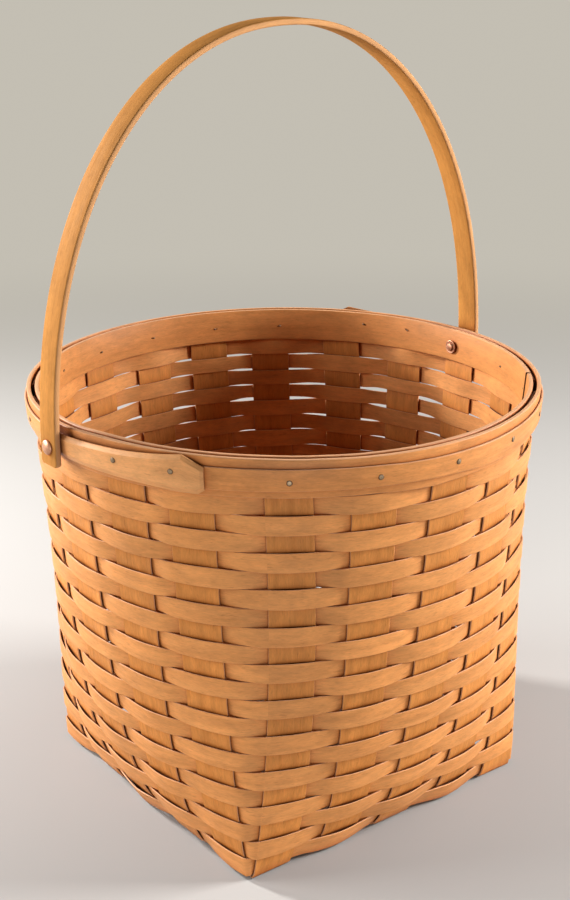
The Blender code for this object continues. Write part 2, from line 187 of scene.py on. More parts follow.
# Handle: points of a straight leg, their distance in metres, and steps of the arch
LEG_POINTS = 3
LEG_STEP = 0.0028
ARCH_STEPS = 140

# Foot of a domed head, and a rivet's peened end, as shares of its radius and its height
HEAD_FOOT_SHARE = 0.99
TAIL_SHAPE = ((0.97, 0.0), (1.0, 0.3), (0.85, 0.75), (0.45, 1.0), (0.0, 0.95))

# Washer, metres: chamfer, width of its lip and distance of its dished part from the edge
WASHER_CHAMFER = 0.0002
WASHER_LIP = 0.0003
WASHER_DISH = 0.0010

# Faces round the turned pieces, and how far they are out of round as a share of their radius
RIVET_SIDES = 40
NAIL_SIDES = 14
RIVET_UNEVEN = 0.012
WASHER_UNEVEN = 0.004
NAIL_UNEVEN = 0.03

# Nails, metres: radius of the shank, sunk part of the head, and the point's radii and their distance
# past the inner hoop's face
NAIL_SHANK = 0.0007
NAIL_SINK = 0.0001
NAIL_POINT = ((NAIL_SHANK, 0.0002), (0.0004, 0.0006), (0.0, 0.0007))

# Clinched tip: places along it with its width there, as shares, its half width, half depth and edge,
# how far it stands off the hoop and how far its end goes back in, metres
CLINCH_SHAPE = ((-0.12, 0.2), (0.0, 0.8), (0.3, 1.0), (0.7, 0.8), (0.92, 0.45), (1.0, 0.12))
CLINCH_HALVES_AND_EDGE = (0.00055, 0.0005, 0.00045)
CLINCH_STAND = 0.0001
CLINCH_RETURN = 0.0004

# How far a tip may slant, radians, and which of them, every third, is bent over to the other side
CLINCH_SLANT = 0.5
CLINCH_TURNED = 3

# Mark, in the attribute that holds the thin edges, of the open joint's faces, painted dark as end grain
# and joint shade
JOINT_SHADE_MARK = -1.0

# Light wood, dark bands and flecks as shares of a wood's colour
LIGHT_SHARES = (1.12, 1.12, 1.12)
DEEP_SHARES = (0.78, 0.66, 0.52)
FLECK_SHARES = (0.50, 0.34, 0.22)

# Painted shade where the wood is hidden and in corners, painted edge highlight with wear from rubbing, end
# grain with painted joint shade
PAINTED_SHADE_TINT = (0.70, 0.33, 0.12, 1.0)
PAINTED_CORNER_SHADE = (0.11, 0.027, 0.008, 1.0)
EDGE_HIGHLIGHT_AND_WEAR = (0.98, 0.60, 0.36, 1.0)
END_GRAIN_AND_JOINT_SHADE = (0.07, 0.025, 0.01, 1.0)

# What is left of a wood's colour in the light that it throws on other pieces
BOUNCE_TINT = (0.40, 0.26, 0.17, 1.0)

BLACK = (0.0, 0.0, 0.0, 1.0)
COPPER_TARNISH = (0.34, 0.16, 0.09)
# Nails' dark colour: tarnishing, and painted shade of the dent round each head
NAIL_TARNISH_AND_DENT_SHADE = (0.10, 0.06, 0.035)
TIP_TARNISH = (0.05, 0.025, 0.012)

# Lamps: width and height, then their place to the camera's right, towards it and up, metres
LAMPS = {
    "left": (0.6, 0.5, -1.15, 0.08, 0.56),
    "right": (0.5, 0.4, 1.3, -0.08, 0.68),
    "left_rear": (0.12, 0.12, -1.02, -0.50, 0.66),
    "right_rear": (0.8, 0.9, 1.1, -0.55, 0.8),
    "front": (0.8, 0.3, 0.10, 1.20, 0.16),
}
LAMP_AIM = Vector((0, 0, 0.2))

# Where the camera aims on the floor's plane, metres, and the width of its sensor, millimetres
CAMERA_AIM = (0.0004, -0.0003)
SENSOR_WIDTH = 36.0

# Sideways drift of single stakes at the rim, metres along the wall
STAKE_DRIFTS = {6: 0.002, 7: 0.003, 8: 0.004, 9: 0.004, 10: 0.008, 11: 0.005, 19: -0.006}

# Stakes at the back, beside which the rows stand further apart, and by how much at each boundary
# between rows, counted from the bottom, metres
BACK_STAKES = range(7, 14)
BACK_GAPS = {20: 0.0008, 19: 0.0010, 18: 0.0026, 17: 0.0018, 16: 0.0009, 15: 0.0006}

# How far the hoops' top, the narrow strip's top and bottom and the hoops' bottom stand above their
# even heights, metres, at turns in degrees from the front
RIM_RISES = (
    (0, (0.0000, -0.0004, -0.0012, -0.0015)),
    (8, (-0.0002, -0.0004, -0.0024, -0.0012)),
    (20, (0.0000, -0.0001, -0.0024, -0.0010)),
    (35, (0.0002, 0.0003, -0.0010, -0.0005)),
    (60, (0.0000, 0.0000, 0.0000, 0.0000)),
    (240, (0.0000, 0.0000, 0.0000, 0.0000)),
    (270, (0.0002, 0.0003, 0.0002, 0.0000)),
    (285, (0.0019, 0.0016, 0.0002, 0.0000)),
    (300, (0.0018, 0.0018, 0.0002, 0.0000)),
    (316, (0.0015, 0.0018, 0.0005, 0.0003)),
    (330, (0.0009, 0.0015, 0.0007, 0.0001)),
    (340, (0.0003, 0.0010, 0.0002, -0.0003)),
    (350, (0.0001, 0.0000, -0.0003, -0.0016)),
    (355, (0.0000, -0.0003, -0.0008, -0.0020)),
    (360, (0.0000, -0.0004, -0.0012, -0.0015)),
)


def length(label, note, default):
    return FloatProperty(name=label, description=note, default=default, min=0.0, precision=4,
                         unit="LENGTH")


def factor(label, note, default):
    return FloatProperty(name=label, description=note, default=default, precision=3)


def turning(label, note, degrees):
    return FloatProperty(name=label, description=note, default=math.radians(degrees), subtype="ANGLE")


def power(label, note, default):
    return FloatProperty(name=label, description=note, default=default, min=0.0, precision=1, unit="POWER")


def colour(label, note, default):
    return FloatVectorProperty(name=label, description=note, default=default, size=3, min=0.0, max=1.0,
                               subtype="COLOR")


class BasketSizes(PropertyGroup):
    """Sizes of the basket's parts."""
    rim_radius: length("Rim radius", "Outside radius of the outer hoop at its top", 0.1524)
    height: length("Height", "Height of the basket without its handle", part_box("rim_band_outer")[1].z)
    stake_width: length("Stake width", "Width of the upright splints", 0.0254)
    stake_thickness: length("Stake thickness", "Thickness of the upright splints", 0.0010)
    stake_gap: length("Stake gap", "Open width between two splints in the base", 0.0188)
    corner_gap: length("Corner gap", "Room for a bend at the corners of the base", 0.0011)
    weaver_thickness: length("Weaver thickness", "Thickness of the weaving strips", 0.0009)
    weaver_bulge: length("Weaver bulge", "How far a weaver stands off the middle of a stake", 0.0009)
    weave_clearance: length("Weave clearance", "Room between a weaver and a stake", 0.0004)
    row_gap: length("Row gap", "Open height between two rows", 0.0003)
    row_overlap: length("Row overlap", "How far a row reaches past its place at a stake", 0.00035)
    row_lift: length("Row lift", "How far the rows are pushed up from even spacing", 0.0014)
    stake_press: length("Stake press", "How far a weaver presses a stake aside", 0.0003)
    quick_flare: length("Quick flare", "Height over which the wall opens quickly above the base", 0.038)
    flare_share: factor("Flare share", "Share of the opening that comes quickly", 0.55)
    corner_draw: length("Corner draw", "How far the corner stakes are drawn in half way up", 0.0050)
    rim_lean: factor("Rim lean", "Outward lean of the rim, as a slope", 0.08)
    band_height: length("Band height", "Height of the two wide hoops", 0.0208)
    band_thickness: length("Band thickness", "Thickness of the two wide hoops", 0.0025)
    trim_height: length("Trim height", "Height of the narrow outer strip", 0.0113)
    trim_thickness: length("Trim thickness", "Thickness of the narrow outer strip", 0.0015)
    trim_drop: length("Trim drop", "Distance of the narrow strip below the rim's top", 0.0055)
    lap_step: length("Lap step", "How far the inner hoop's end stands proud at its lap", 0.0005)
    lap_groove: length("Lap groove", "Depth of the open joint at the inner hoop's lap", 0.0015)
    lap_width: length("Lap width", "Width of the open joint at the inner hoop's lap", 0.0015)
    lap_wave: length("Lap wave", "How far the joint wanders from a straight line", 0.0007)
    ear_reach: length("Ear reach", "Length of an ear from the pivot to its end", 0.1030)
    ear_start: length("Ear start", "Length of an ear from the pivot to its start", 0.0105)
    ear_thickness: length("Ear thickness", "Thickness of an ear", 0.0024)
    ear_start_top: length("Ear top at its start", "Distance of an ear's top below the rim", 0.0038)
    ear_start_bottom: length("Ear bottom at its start", "Distance of an ear's foot below the rim", 0.0170)
    ear_end_rise: length("Ear top at its end", "Height of an ear's top over the rim", 0.0010)
    ear_end_bottom: length("Ear bottom at its end", "Distance of an ear's foot below the rim", 0.0194)
    ear_top_chamfer: length("Ear top chamfer", "Width of the chamfer along an ear's top", 0.0020)
    ear_bottom_chamfer: length("Ear bottom chamfer", "Width of the chamfer along an ear's bottom", 0.0033)
    ear_chamfer_depth: length("Ear chamfer depth", "Depth of the chamfers", 0.0017)
    top_clip_length: length("Top clip length", "Length of an ear's clipped upper corner", 0.0120)
    top_clip_height: length("Top clip height", "Height of an ear's clipped upper corner", 0.0060)
    bottom_clip_length: length("Bottom clip length", "Length of an ear's clipped lower corner", 0.0040)
    bottom_clip_height: length("Bottom clip height", "Height of an ear's clipped lower corner", 0.0025)
    handle_width: length("Handle width", "Width of the bent strip", 0.0160)
    handle_thickness: length("Handle thickness", "Thickness of the bent strip", 0.0036)
    handle_rise: length("Handle rise", "Height of the arch over the pivots", 0.2150)
    handle_tail: length("Handle tail", "Length of a leg below its pivot", 0.0104)
    handle_clip: length("Handle clip", "Clipped corners at the ends of the legs", 0.0013)
    handle_power: factor("Handle squareness", "Power of the arch: 2 is an ellipse", 2.13)
    pivot_drop: length("Pivot drop", "Distance of the pivots below the rim's top", 0.0115)
    pivot_offset: length("Pivot offset", "Distance of the pivot line from the basket's middle", 0.0041)
    pivot_skew: turning("Pivot skew", "Turn of the pivot line", 1.5)
    rivet_radius: length("Rivet head radius", "Radius of a rivet's domed head", 0.0043)
    rivet_height: length("Rivet head height", "Height of a rivet's domed head", 0.0022)
    shank_radius: length("Shank radius", "Radius of a rivet's shank", 0.0018)
    tail_radius: length("Rivet tail radius", "Radius of a rivet's peened end", 0.0026)
    tail_height: length("Rivet tail height", "Height of a rivet's peened end", 0.0009)
    washer_radius: length("Washer radius", "Radius of the washer inside the rim", 0.0043)
    washer_thickness: length("Washer thickness", "Thickness of the washer", 0.0008)
    nail_radius: length("Nail head radius", "Radius of a nail's head", 0.0016)
    nail_height: length("Nail head height", "Height of a nail's head", 0.0006)
    ear_nail_drop: length("Ear nail drop", "Distance of an ear's nails below the rim's top", 0.0075)
    ear_nail_reach: length("Ear nail reach", "Distance of an ear's last nail from its pivot", 0.0825)
    clinch_length: length("Clinch length", "Length of a nail's tip bent over inside the rim", 0.0024)


class BasketColours(PropertyGroup):
    """Colours of the woods, the metals and the stage."""
    stake: colour("Stakes", "Colour of the upright splints and the base", (0.75, 0.298, 0.068))
    weaver: colour("Weavers", "Colour of the weaving strips", (0.82, 0.350, 0.108))
    rim: colour("Rim", "Colour of the hoops and the trim", (0.79, 0.325, 0.097))
    ear: colour("Ears", "Colour of the ears", (0.90, 0.432, 0.165))
    handle: colour("Handle", "Colour of the handle", (0.61, 0.270, 0.066))
    copper: colour("Copper", "Colour of the rivets and washers", (0.66, 0.36, 0.23))
    nail: colour("Nails", "Colour of the nails", (0.38, 0.28, 0.18))
    stain: colour("Clinched tips", "Colour of the nails' tips inside", (0.16, 0.07, 0.03))
    floor: colour("Floor", "Colour of the floor", (0.58, 0.553, 0.523))
    backdrop: colour("Backdrop", "Colour of the backdrop", (0.55, 0.518, 0.45))


class StageSettings(PropertyGroup):
    """Camera, lamps, world and floor."""
    camera_azimuth: turning("Camera azimuth", "Turn of the camera round the basket", -37.0)
    camera_elevation: turning("Camera elevation", "Camera's angle above the floor", 20.13)
    camera_roll: turning("Camera roll", "Camera's tilt about its own axis", -0.25)
    camera_distance: length("Camera distance", "Distance from the camera to the point it looks at", 0.9591)
    aim_height: length("Aim height", "Height of the point that the camera looks at", 0.2078)
    lens: factor("Lens", "Focal length in millimetres", 63.0)
    left_power: power("Left lamp", "Power of the soft lamp on the left", 9.5)
    right_power: power("Right lamp", "Power of the lamp on the right", 25.5)
    left_rear_power: power("Left rear lamp", "Power of the small lamp at the left, behind", 17.5)
    right_rear_power: power("Right rear lamp", "Power of the large lamp at the right, behind", 2.5)
    front_power: power("Front lamp", "Power of the weak, low lamp at the front", 3.6)
    world_level: factor("World level", "Strength of the even light from all round", 0.03)
    floor_size: length("Floor size", "Length of the floor's sides", 60.0)
    floor_drop: length("Floor drop", "Distance of the floor below the basket's base", 0.0002)
    fade_start: length("Fade start", "Distance at which the floor starts to fade into the backdrop", 0.45)
    fade_end: length("Fade end", "Distance from which the floor shows the backdrop's colour", 1.45)


class Wall:
    """Where the stakes stand at each height, worked out from the sizes."""

    def __init__(self, sizes):
        self.sizes = sizes
        self.pitch = sizes.stake_width + sizes.stake_gap
        half_base = LAST_PLACE * self.pitch + sizes.stake_width / 2
        self.face = half_base + sizes.stake_thickness / 2 + sizes.corner_gap
        self.band_bottom = sizes.height - sizes.band_height
        self.crossing_rise = (sizes.stake_thickness + CROSSING_GAP) / 2
        self.base_middle = sizes.stake_thickness + CROSSING_GAP / 2
        self.rows_start = (self.base_middle + self.crossing_rise + sizes.stake_thickness / 2
                           + sizes.weave_clearance)
        self.row_pitch = (self.band_bottom - self.rows_start) / ROWS
        self.stake_top = sizes.height - STAKE_END_DROP
        chord_rise = (sizes.stake_width / 2) ** 2 / 2 / sizes.rim_radius
        self.outer_band = sizes.stake_thickness / 2 + chord_rise + BAND_GAP
        self.inner_band = -(sizes.stake_thickness / 2 + BAND_GAP + sizes.band_thickness)
        self.trim = self.outer_band + sizes.band_thickness + TRIM_GAP
        self.ear = self.trim + sizes.trim_thickness + EAR_GAP
        self.ear_outside = self.ear + sizes.ear_thickness
        self.stake_radius = sizes.rim_radius - sizes.band_thickness - self.outer_band
        self.drifts = self.stake_drifts()

    def stake_drifts(self):
        rng = random.Random(DRIFT_SEED)
        drifts = [rng.uniform(-DRIFT_SPREAD, DRIFT_SPREAD) for _ in range(STAKES)]
        for number, drift in STAKE_DRIFTS.items():
            drifts[number] += drift
        return drifts

    def radius(self, z):
        return self.stake_radius - self.sizes.rim_lean * (self.sizes.height - z)

    def opened(self, rise):
        """How far the wall has opened from the base to the rim, at a share of the height."""
        share = self.sizes.flare_share
        quick = 1 - math.exp(-rise * self.band_bottom / self.sizes.quick_flare)
        whole = 1 - math.exp(-self.band_bottom / self.sizes.quick_flare)
        return share * quick / whole + (1 - share) * rise

    def line(self, number, z):
        """Middle of a stake at height z and the level direction across it."""
        side, index = divmod(number % STAKES, STAKES_PER_SIDE)
        place = index - LAST_PLACE
        flat_out, flat_along = axes_at(side * QUARTER_TURN)
        round_along = axes_at(side * QUARTER_TURN + place * STAKE_TURN)[1]
        radius = self.radius(max(z, self.band_bottom))
        rise = min(max(z, 0) / self.band_bottom, 1)
        share = self.opened(rise)
        outward = self.face + (radius * math.cos(place * STAKE_TURN) - self.face) * share
        bow = 4 * rise * (1 - rise)
        draw = self.sizes.corner_draw * bow * place * abs(place) / LAST_PLACE ** 2
        sideways = (1 - rise) * place * self.pitch + rise * radius * math.sin(place * STAKE_TURN) - draw
        middle = flat_out * outward + flat_along * sideways
        across = flat_along.lerp(round_along, share).normalized()
        middle = middle + across * self.drifts[number % STAKES] * rise * rise
        middle.z = z
        return middle, across

    def place(self, number, z):
        """Middle of a stake at height z, the direction across it and its outward direction."""
        middle, across = self.line(number, z)
        below, above = self.line(number, z - LEAN_STEP)[0], self.line(number, z + LEAN_STEP)[0]
        return middle, across, across.cross(above - below).normalized()

    def row_level(self, index, turn):
        """Height of the boundary over so many rows from the bottom; near the top it follows the hoops."""
        pushed = min(1, (ROWS - index) / LIFT_TOP_ROWS, LIFT_AT_FOOT + LIFT_PER_ROW * index)
        share = (index / ROWS) ** RIM_FOLLOW_POWER
        return (self.rows_start + index * self.row_pitch + self.sizes.row_lift * pushed
                + rim_rises(turn)[3] * share)

    def rim_place(self, turn, offset, z):
        """A point on the leaning rim, with its up and outward directions."""
        outward = axes_at(turn)[0]
        lean = self.sizes.rim_lean
        point = outward * (self.radius(z) + offset) + UP * z
        return point, (outward * lean + UP).normalized(), (outward - UP * lean).normalized()

    def handle_leg(self):
        """Distance of a leg's middle from the basket's axis."""
        ear_top = self.sizes.height - self.sizes.ear_start_top
        return self.radius(ear_top) + self.ear_outside + LEG_GAP + self.sizes.handle_thickness / 2

    def pivot_foot(self):
        """Middle of the pivot line, beside the basket's axis."""
        foot = axes_at(QUARTER_TURN + self.sizes.pivot_skew)[1] * self.sizes.pivot_offset
        return foot + UP * (self.sizes.height - self.sizes.pivot_drop)

    def pivot_frame(self, name):
        """Frame on the pivot line whose Z axis points out through the left or the right leg."""
        turn = QUARTER_TURN + self.sizes.pivot_skew + (0 if name == "right" else math.pi)
        return outward_frame(turn, self.pivot_foot())

    def ear_turn(self, name):
        """Turn from the front at which the pivot line passes an ear."""
        lean = math.atan(self.sizes.pivot_offset / self.sizes.rim_radius)
        turn = QUARTER_TURN + self.sizes.pivot_skew
        return turn + lean if name == "right" else turn + math.pi - lean


def rim_rises(turn):
    """How far the edges of the hoops and of the narrow strip stand above their even heights."""
    degrees = math.degrees(turn) % 360
    for (first, low), (last, high) in zip(RIM_RISES, RIM_RISES[1:]):
        if first <= degrees <= last:
            share = (degrees - first) / (last - first)
            ease = share * share * (3 - 2 * share)
            return [a + (b - a) * ease for a, b in zip(low, high)]
    return [0.0] * 4


def axes_at(turn):
    """Outward direction at an angle from the front, and the direction to the right along the wall."""
    return Vector((math.sin(turn), -math.cos(turn), 0)), Vector((math.cos(turn), math.sin(turn), 0))


def outward_frame(turn, foot):
    """Frame whose Z axis points outward at a turn from the front."""
    outward, along = axes_at(turn)
    made = Matrix((along, outward.cross(along), outward)).transposed().to_4x4()
    made.translation = foot
    return made


def wander(value, seed, spread):
    """Smooth, repeatable variation along a piece."""
    return noise.noise(Vector((value, seed * SEED_STRIDES[0], seed * SEED_STRIDES[1]))) * spread


def rounded_outline(half_width, half_thickness, radius, steps=2):
    """Rounded rectangle as (across, depth) points, outer side first, from + to - across."""
    points = []
    for corner, (side, depth) in enumerate(((1, 1), (-1, 1), (-1, -1), (1, -1))):
        centre = side * (half_width - radius), depth * (half_thickness - radius)
        for step in range(steps + 1):
            angle = (corner + step / steps) * math.pi / 2
            points.append((centre[0] + radius * math.cos(angle), centre[1] + radius * math.sin(angle)))
    return points


def edge_shares(outline):
    """How far each point of an outline has turned from a broad face to a thin edge, 0 to 1."""
    thick = max(abs(depth) for _, depth in outline)
    wide = max(abs(across) for across, _ in outline)
    flat = max(abs(across) for across, depth in outline if abs(depth) > thick * 0.99)
    return [max(0.0, (abs(across) - flat) / (wide - flat)) for across, _ in outline]


def ring(middle, across, depth, outline):
    """An outline's points about a middle."""
    return [middle + across * a + depth * d for a, d in outline]


def skin(name, rings, material, body, nodes, seed=0.0, closed=False, edges=None,
         smooth_angle=SMOOTH_ANGLE):
    """Skin equal rings of points into a piece that keeps its grain and its thin edges.

    The grain holds, for each corner, the way along and round the piece and the piece's seed. The edges
    are given for one ring or for all of them.
    """
    count = len(rings[0])
    verts = [point for points in rings for point in points]
    runs = [0.0]
    pairs = list(zip(rings, rings[1:] + (rings[:1] if closed else [])))
    for first, second in pairs:
        runs.append(runs[-1] + sum((b - a).length for a, b in zip(first, second)) / count)
    spans = [0.0]
    for corner in range(count):
        spans.append(spans[-1] + (rings[0][(corner + 1) % count] - rings[0][corner]).length)
    faces, grain = [], []
    for step in range(len(pairs)):
        low, high = step * count, ((step + 1) % len(rings)) * count
        for corner in range(count):
            after = (corner + 1) % count
            faces.append((low + corner, high + corner, high + after, low + after))
            for run, span in ((0, 0), (1, 0), (1, 1), (0, 1)):
                grain.extend((runs[step + run], spans[corner + span], seed))
    if not closed:
        last = (len(rings) - 1) * count
        faces.append(tuple(range(count)))
        faces.append(tuple(last + corner for corner in reversed(range(count))))
        for run in (0.0, runs[-1]):
            for corner in range(count):
                grain.extend((run, spans[corner], seed))
    mesh = bpy.data.meshes.new(name)
    mesh.from_pydata(verts, [], faces)
    held = mesh.attributes.new("grain", "FLOAT_VECTOR", "CORNER")
    held.data.foreach_set("vector", grain)
    shares = edges or [0.0] * count
    if len(shares) == count:
        shares = shares * len(rings)
    mesh.attributes.new("edge", "FLOAT", "POINT").data.foreach_set("value", shares)
    place_piece(name, mesh, material, body, nodes, smooth_angle)


def place_piece(name, mesh, material, body, nodes, smooth_angle=SMOOTH_ANGLE):
    """Finish a mesh and put it on its body in the place of its nodes."""
    mesh.shade_smooth()
    mesh.set_sharp_from_angle(angle=smooth_angle)
    mesh.materials.append(material)
    piece = bpy.data.objects.new(name, mesh)
    bpy.context.scene.collection.objects.link(piece)
    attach(piece, body)
    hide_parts(*nodes)


def hermite(start, end, leave, arrive, way):
    """Curve between two values or places with given slopes at its ends; way goes from 0 to 1."""
    return (start * (2 * way ** 3 - 3 * way ** 2 + 1) + leave * (way ** 3 - 2 * way ** 2 + way)
            + end * (3 * way ** 2 - 2 * way ** 3) + arrive * (way ** 3 - way ** 2))


# Weavers

def weaver_edge(wall, row, boundary, hand_up):
    """Points along a row's top (hand_up 1) or bottom (-1), over every second stake and under the rest.

    The gap to the next row is drawn for each stake: many are narrow and a few are wide.
    """
    sizes = wall.sizes
    half = sizes.stake_width / 2
    touch = (sizes.stake_thickness + sizes.weaver_thickness) / 2 + sizes.weave_clearance
    levels, bulges = [], []
    for number in range(STAKES):
        side, index = divmod(number, STAKES_PER_SIDE)
        turn = side * QUARTER_TURN + (index - LAST_PLACE) * STAKE_TURN
        level = wall.row_level(boundary, turn)
        level += wander(number * LEVEL_STRIDES[0], boundary * LEVEL_STRIDES[1], ROW_WANDER)
        luck = random.Random(number * LUCK_STRIDE + boundary).random() ** 2
        gap = sizes.row_gap * (GAP_SHARES[0] + GAP_SHARES[1] * luck)
        if number in BACK_STAKES:
            gap += BACK_GAPS.get(boundary, 0.0) * (BACK_GAP_SHARES[0] + BACK_GAP_SHARES[1] * luck)
        levels.append(level + hand_up * (sizes.row_overlap - gap / 2))
        bulges.append(sizes.weaver_bulge * (1 + wander(number * BULGE_STRIDE, row, BULGE_WANDER)))
    points = []
    for number in range(STAKES):
        after = (number + 1) % STAKES
        middle, across, outward = wall.place(number, levels[number])
        next_middle, next_across, next_outward = wall.place(after, levels[after])
        hand = 1 if (number + row) % 2 == 0 else -1
        bulge = bulges[number]
        leave, arrive = bulge * math.pi / 2 / half, bulges[after] * math.pi / 2 / half
        for step in range(-OVER_STEPS, OVER_STEPS + 1):
            share = step / OVER_STEPS
            offset = hand * (touch + bulge * math.cos(share * math.pi / 2))
            points.append(middle + across * (share * half) + outward * offset)
        start, stop = middle + across * half, next_middle - next_across * half
        reach = (stop - start).length
        for step in range(1, BETWEEN_STEPS):
            way = step / BETWEEN_STEPS
            slopes = -hand * leave * reach, -hand * arrive * reach
            offset = hermite(hand * touch, -hand * touch, *slopes, way)
            ease = way * way * (3 - 2 * way)
            depth = outward.lerp(next_outward, ease).normalized()
            point = hermite(start, stop, across * reach, next_across * reach, way) + depth * offset
            point.z -= hand_up * sizes.row_overlap * math.sin(math.pi * way) ** 2
            points.append(point)
    return points


def make_weaver(wall, row, material):
    """One closed row of weaving; the rows are counted from the top."""
    index = ROWS - row
    sizes = wall.sizes
    low = weaver_edge(wall, row, index, -1)
    high = weaver_edge(wall, row, index + 1, 1)
    rings = []
    for step in range(len(low)):
        before, after = step - 1, (step + 1) % len(low)
        run = low[after] + high[after] - low[before] - high[before]
        rise = high[step] - low[step]
        depth = run.cross(rise).normalized()
        outline = rounded_outline(rise.length / 2, sizes.weaver_thickness / 2, WEAVER_EDGE, 1)
        rings.append(ring((low[step] + high[step]) / 2, -rise.normalized(), depth, outline))
    skin(f"weaver_row_{row:02d}", rings, material, "basket", [f"weaver_{row:02d}"],
         row * WEAVER_SEED_STEP, True, edge_shares(outline))


# Stakes

def pressed(wall, number, z):
    """How far a stake is pushed out by the weavers at height z."""
    rows_up = (z - wall.rows_start - wall.sizes.row_lift) / wall.row_pitch
    if rows_up < 0 or rows_up > ROWS:
        return 0.0
    return wall.sizes.stake_press * (-1) ** number * math.sin(math.pi * rows_up)


def splint_wall(wall, number, flip):
    """Middle and direction across for a stake's part of the wall, from its foot upwards."""
    path = []
    for step in range((ROWS + 1) * STEPS_PER_ROW + 1):
        z = wall.rows_start + wall.row_pitch * step / STEPS_PER_ROW
        if z > wall.stake_top:
            break
        middle, across, outward = wall.place(number, z)
        path.append((middle + outward * pressed(wall, number, z), -across if flip else across))
    middle, across = wall.line(number, wall.stake_top)
    path.append((middle, -across if flip else across))
    return path


def lies_over(family, index, crossing):
    """Whether a splint lies over the one that it crosses; the two families take turns."""
    if family == "x":
        return (index + crossing) % 2 == 0
    return (index + crossing + STAKES_PER_SIDE) % 2 == 0


def base_height(wall, family, index, distance):
    """Height of a splint's middle along the base, over and under the splints that it crosses."""
    spot = distance / wall.pitch + LAST_PLACE
    crossing = min(max(int(math.floor(spot + 0.5)), 0), STAKES_PER_SIDE - 1)
    hand = 1 if lies_over(family, index, crossing) else -1
    flat = wall.sizes.stake_width / 2 / wall.pitch + PLAIT_FLAT_SHARE
    away = min(max((abs(spot - crossing) - flat) / (0.5 - flat), 0), 1)
    if not 0 <= spot <= STAKES_PER_SIDE - 1:
        away = 0
    return wall.base_middle + hand * wall.crossing_rise * math.cos(away * math.pi / 2)


def splint_path(wall, family, index):
    """Middle and direction across of a splint, down one wall, across the base and up the other."""
    end_side = 1 if family == "x" else 2
    start_side = (end_side + 2) % SIDES
    run, along = axes_at(end_side * QUARTER_TURN)
    place = index - LAST_PLACE
    start_number = start_side * STAKES_PER_SIDE + (STAKES_PER_SIDE - 1 - index)
    end_number = end_side * STAKES_PER_SIDE + index
    path = list(reversed(splint_wall(wall, start_number, True)))
    reach = wall.face - FOOT_BEND
    flat = []
    for step in range(BASE_STEPS + 1):
        distance = -reach + 2 * reach * step / BASE_STEPS
        height = base_height(wall, family, index, distance)
        flat.append(run * distance + along * (place * wall.pitch) + UP * height)
    corners = []
    for side, foot in ((-1, flat[0]), (1, flat[-1])):
        bend = []
        for step in range(1, BEND_STEPS + 1):
            angle = math.pi / 2 * step / BEND_STEPS
            rise = UP * (FOOT_BEND * (1 - math.cos(angle)))
            bend.append(foot + run * (side * FOOT_BEND * math.sin(angle)) + rise)
        corners.append(bend)
    path += [(point, along) for point in corners[0][::-1] + flat + corners[1]]
    path += splint_wall(wall, end_number, False)
    return path


def make_splint(wall, family, index, material):
    """One splint that makes two stakes and the strip of the base between them."""
    path = splint_path(wall, family, index)
    sizes = wall.sizes
    outline = rounded_outline(sizes.stake_width / 2, sizes.stake_thickness / 2, STAKE_EDGE, 1)
    rings = []
    for step, (middle, across) in enumerate(path):
        before = path[max(step - 1, 0)][0]
        after = path[min(step + 1, len(path) - 1)][0]
        depth = across.cross(after - before).normalized()
        rings.append(ring(middle, across, depth, outline))
    skin(f"splint_{family}_{index + 1}", rings, material, "basket",
         [f"base_strip_{family}_{index + 1}"], index * SPLINT_SEED_STEP + SPLINT_SEEDS[family],
         edges=edge_shares(outline))


# Rim

def make_hoop(wall, name, node, offset, thickness, heights, rises, edge, material, lap=False):
    """Closed hoop; where it laps, an open joint is cut and one end stands a little proud inside.

    The heights are those of its bottom and its top; rises tells which of the rim's rises each follows.
    """
    sizes = wall.sizes
    radius = wall.radius(heights[1])
    turns = [math.tau * step / RIM_STEPS for step in range(RIM_STEPS)]
    start, end = LAP_TURN - sizes.lap_width / radius, LAP_TURN
    lip = LAP_LIP / radius
    if lap:
        turns = [turn for turn in turns if not start - LAP_CLEAR_TURN < turn < end + LAP_CLEAR_TURN]
        turns += [start - LAP_NEXT_TURN, start - lip, start, end, end + lip, end + LAP_NEXT_TURN]
    rings, edges = [], []
    for turn in sorted(turns):
        lifts = rim_rises(turn)
        bottom, top = heights[0] + lifts[rises[0]], heights[1] + lifts[rises[1]]
        extra = 0.0
        if lap and start <= turn <= end:
            extra = -sizes.lap_groove
        elif lap and 0 <= turn - LAP_TURN <= LAP_REACH:
            extra = sizes.lap_step * (1 - (turn - LAP_TURN) / LAP_REACH)
        point, up, out = wall.rim_place(turn, offset + thickness / 2 - extra / 2, (bottom + top) / 2)
        half_depth = (thickness + extra) / 2
        outline = rounded_outline((top - bottom) / 2, half_depth, min(edge, half_depth), 3)
        points = ring(point, -up, out, outline)
        if lap and start - LAP_NEAR_TURN < turn < end + LAP_NEAR_TURN:
            along = axes_at(turn)[1]
            points = [spot + along * (sizes.lap_wave * math.sin((spot.z - bottom) / LAP_WAVE_PITCH))
                      for spot in points]
        rings.append(points)
        in_joint = lap and start <= turn <= end + lip
        # The open joint's faces get the mark: painted shade of the joint, with the dark of end grain
        edges += [JOINT_SHADE_MARK] * len(outline) if in_joint else edge_shares(outline)
    skin(name, rings, material, "basket", [node], GRAIN_SEEDS[name], True, edges)


def make_hoops(wall, material):
    """The two wide hoops and the narrow strip round the outer one."""
    sizes = wall.sizes
    top = sizes.height
    band = (wall.band_bottom, top)
    make_hoop(wall, "inner_hoop", "rim_band_inner", wall.inner_band, sizes.band_thickness, band, (3, 0),
              BAND_EDGE, material, True)
    make_hoop(wall, "outer_hoop", "rim_band_outer", wall.outer_band, sizes.band_thickness, band, (3, 0),
              BAND_EDGE, material)
    trim_top = top - sizes.trim_drop
    make_hoop(wall, "trim_hoop", "rim_trim", wall.trim, sizes.trim_thickness,
              (trim_top - sizes.trim_height, trim_top), (2, 1), TRIM_EDGE, material)


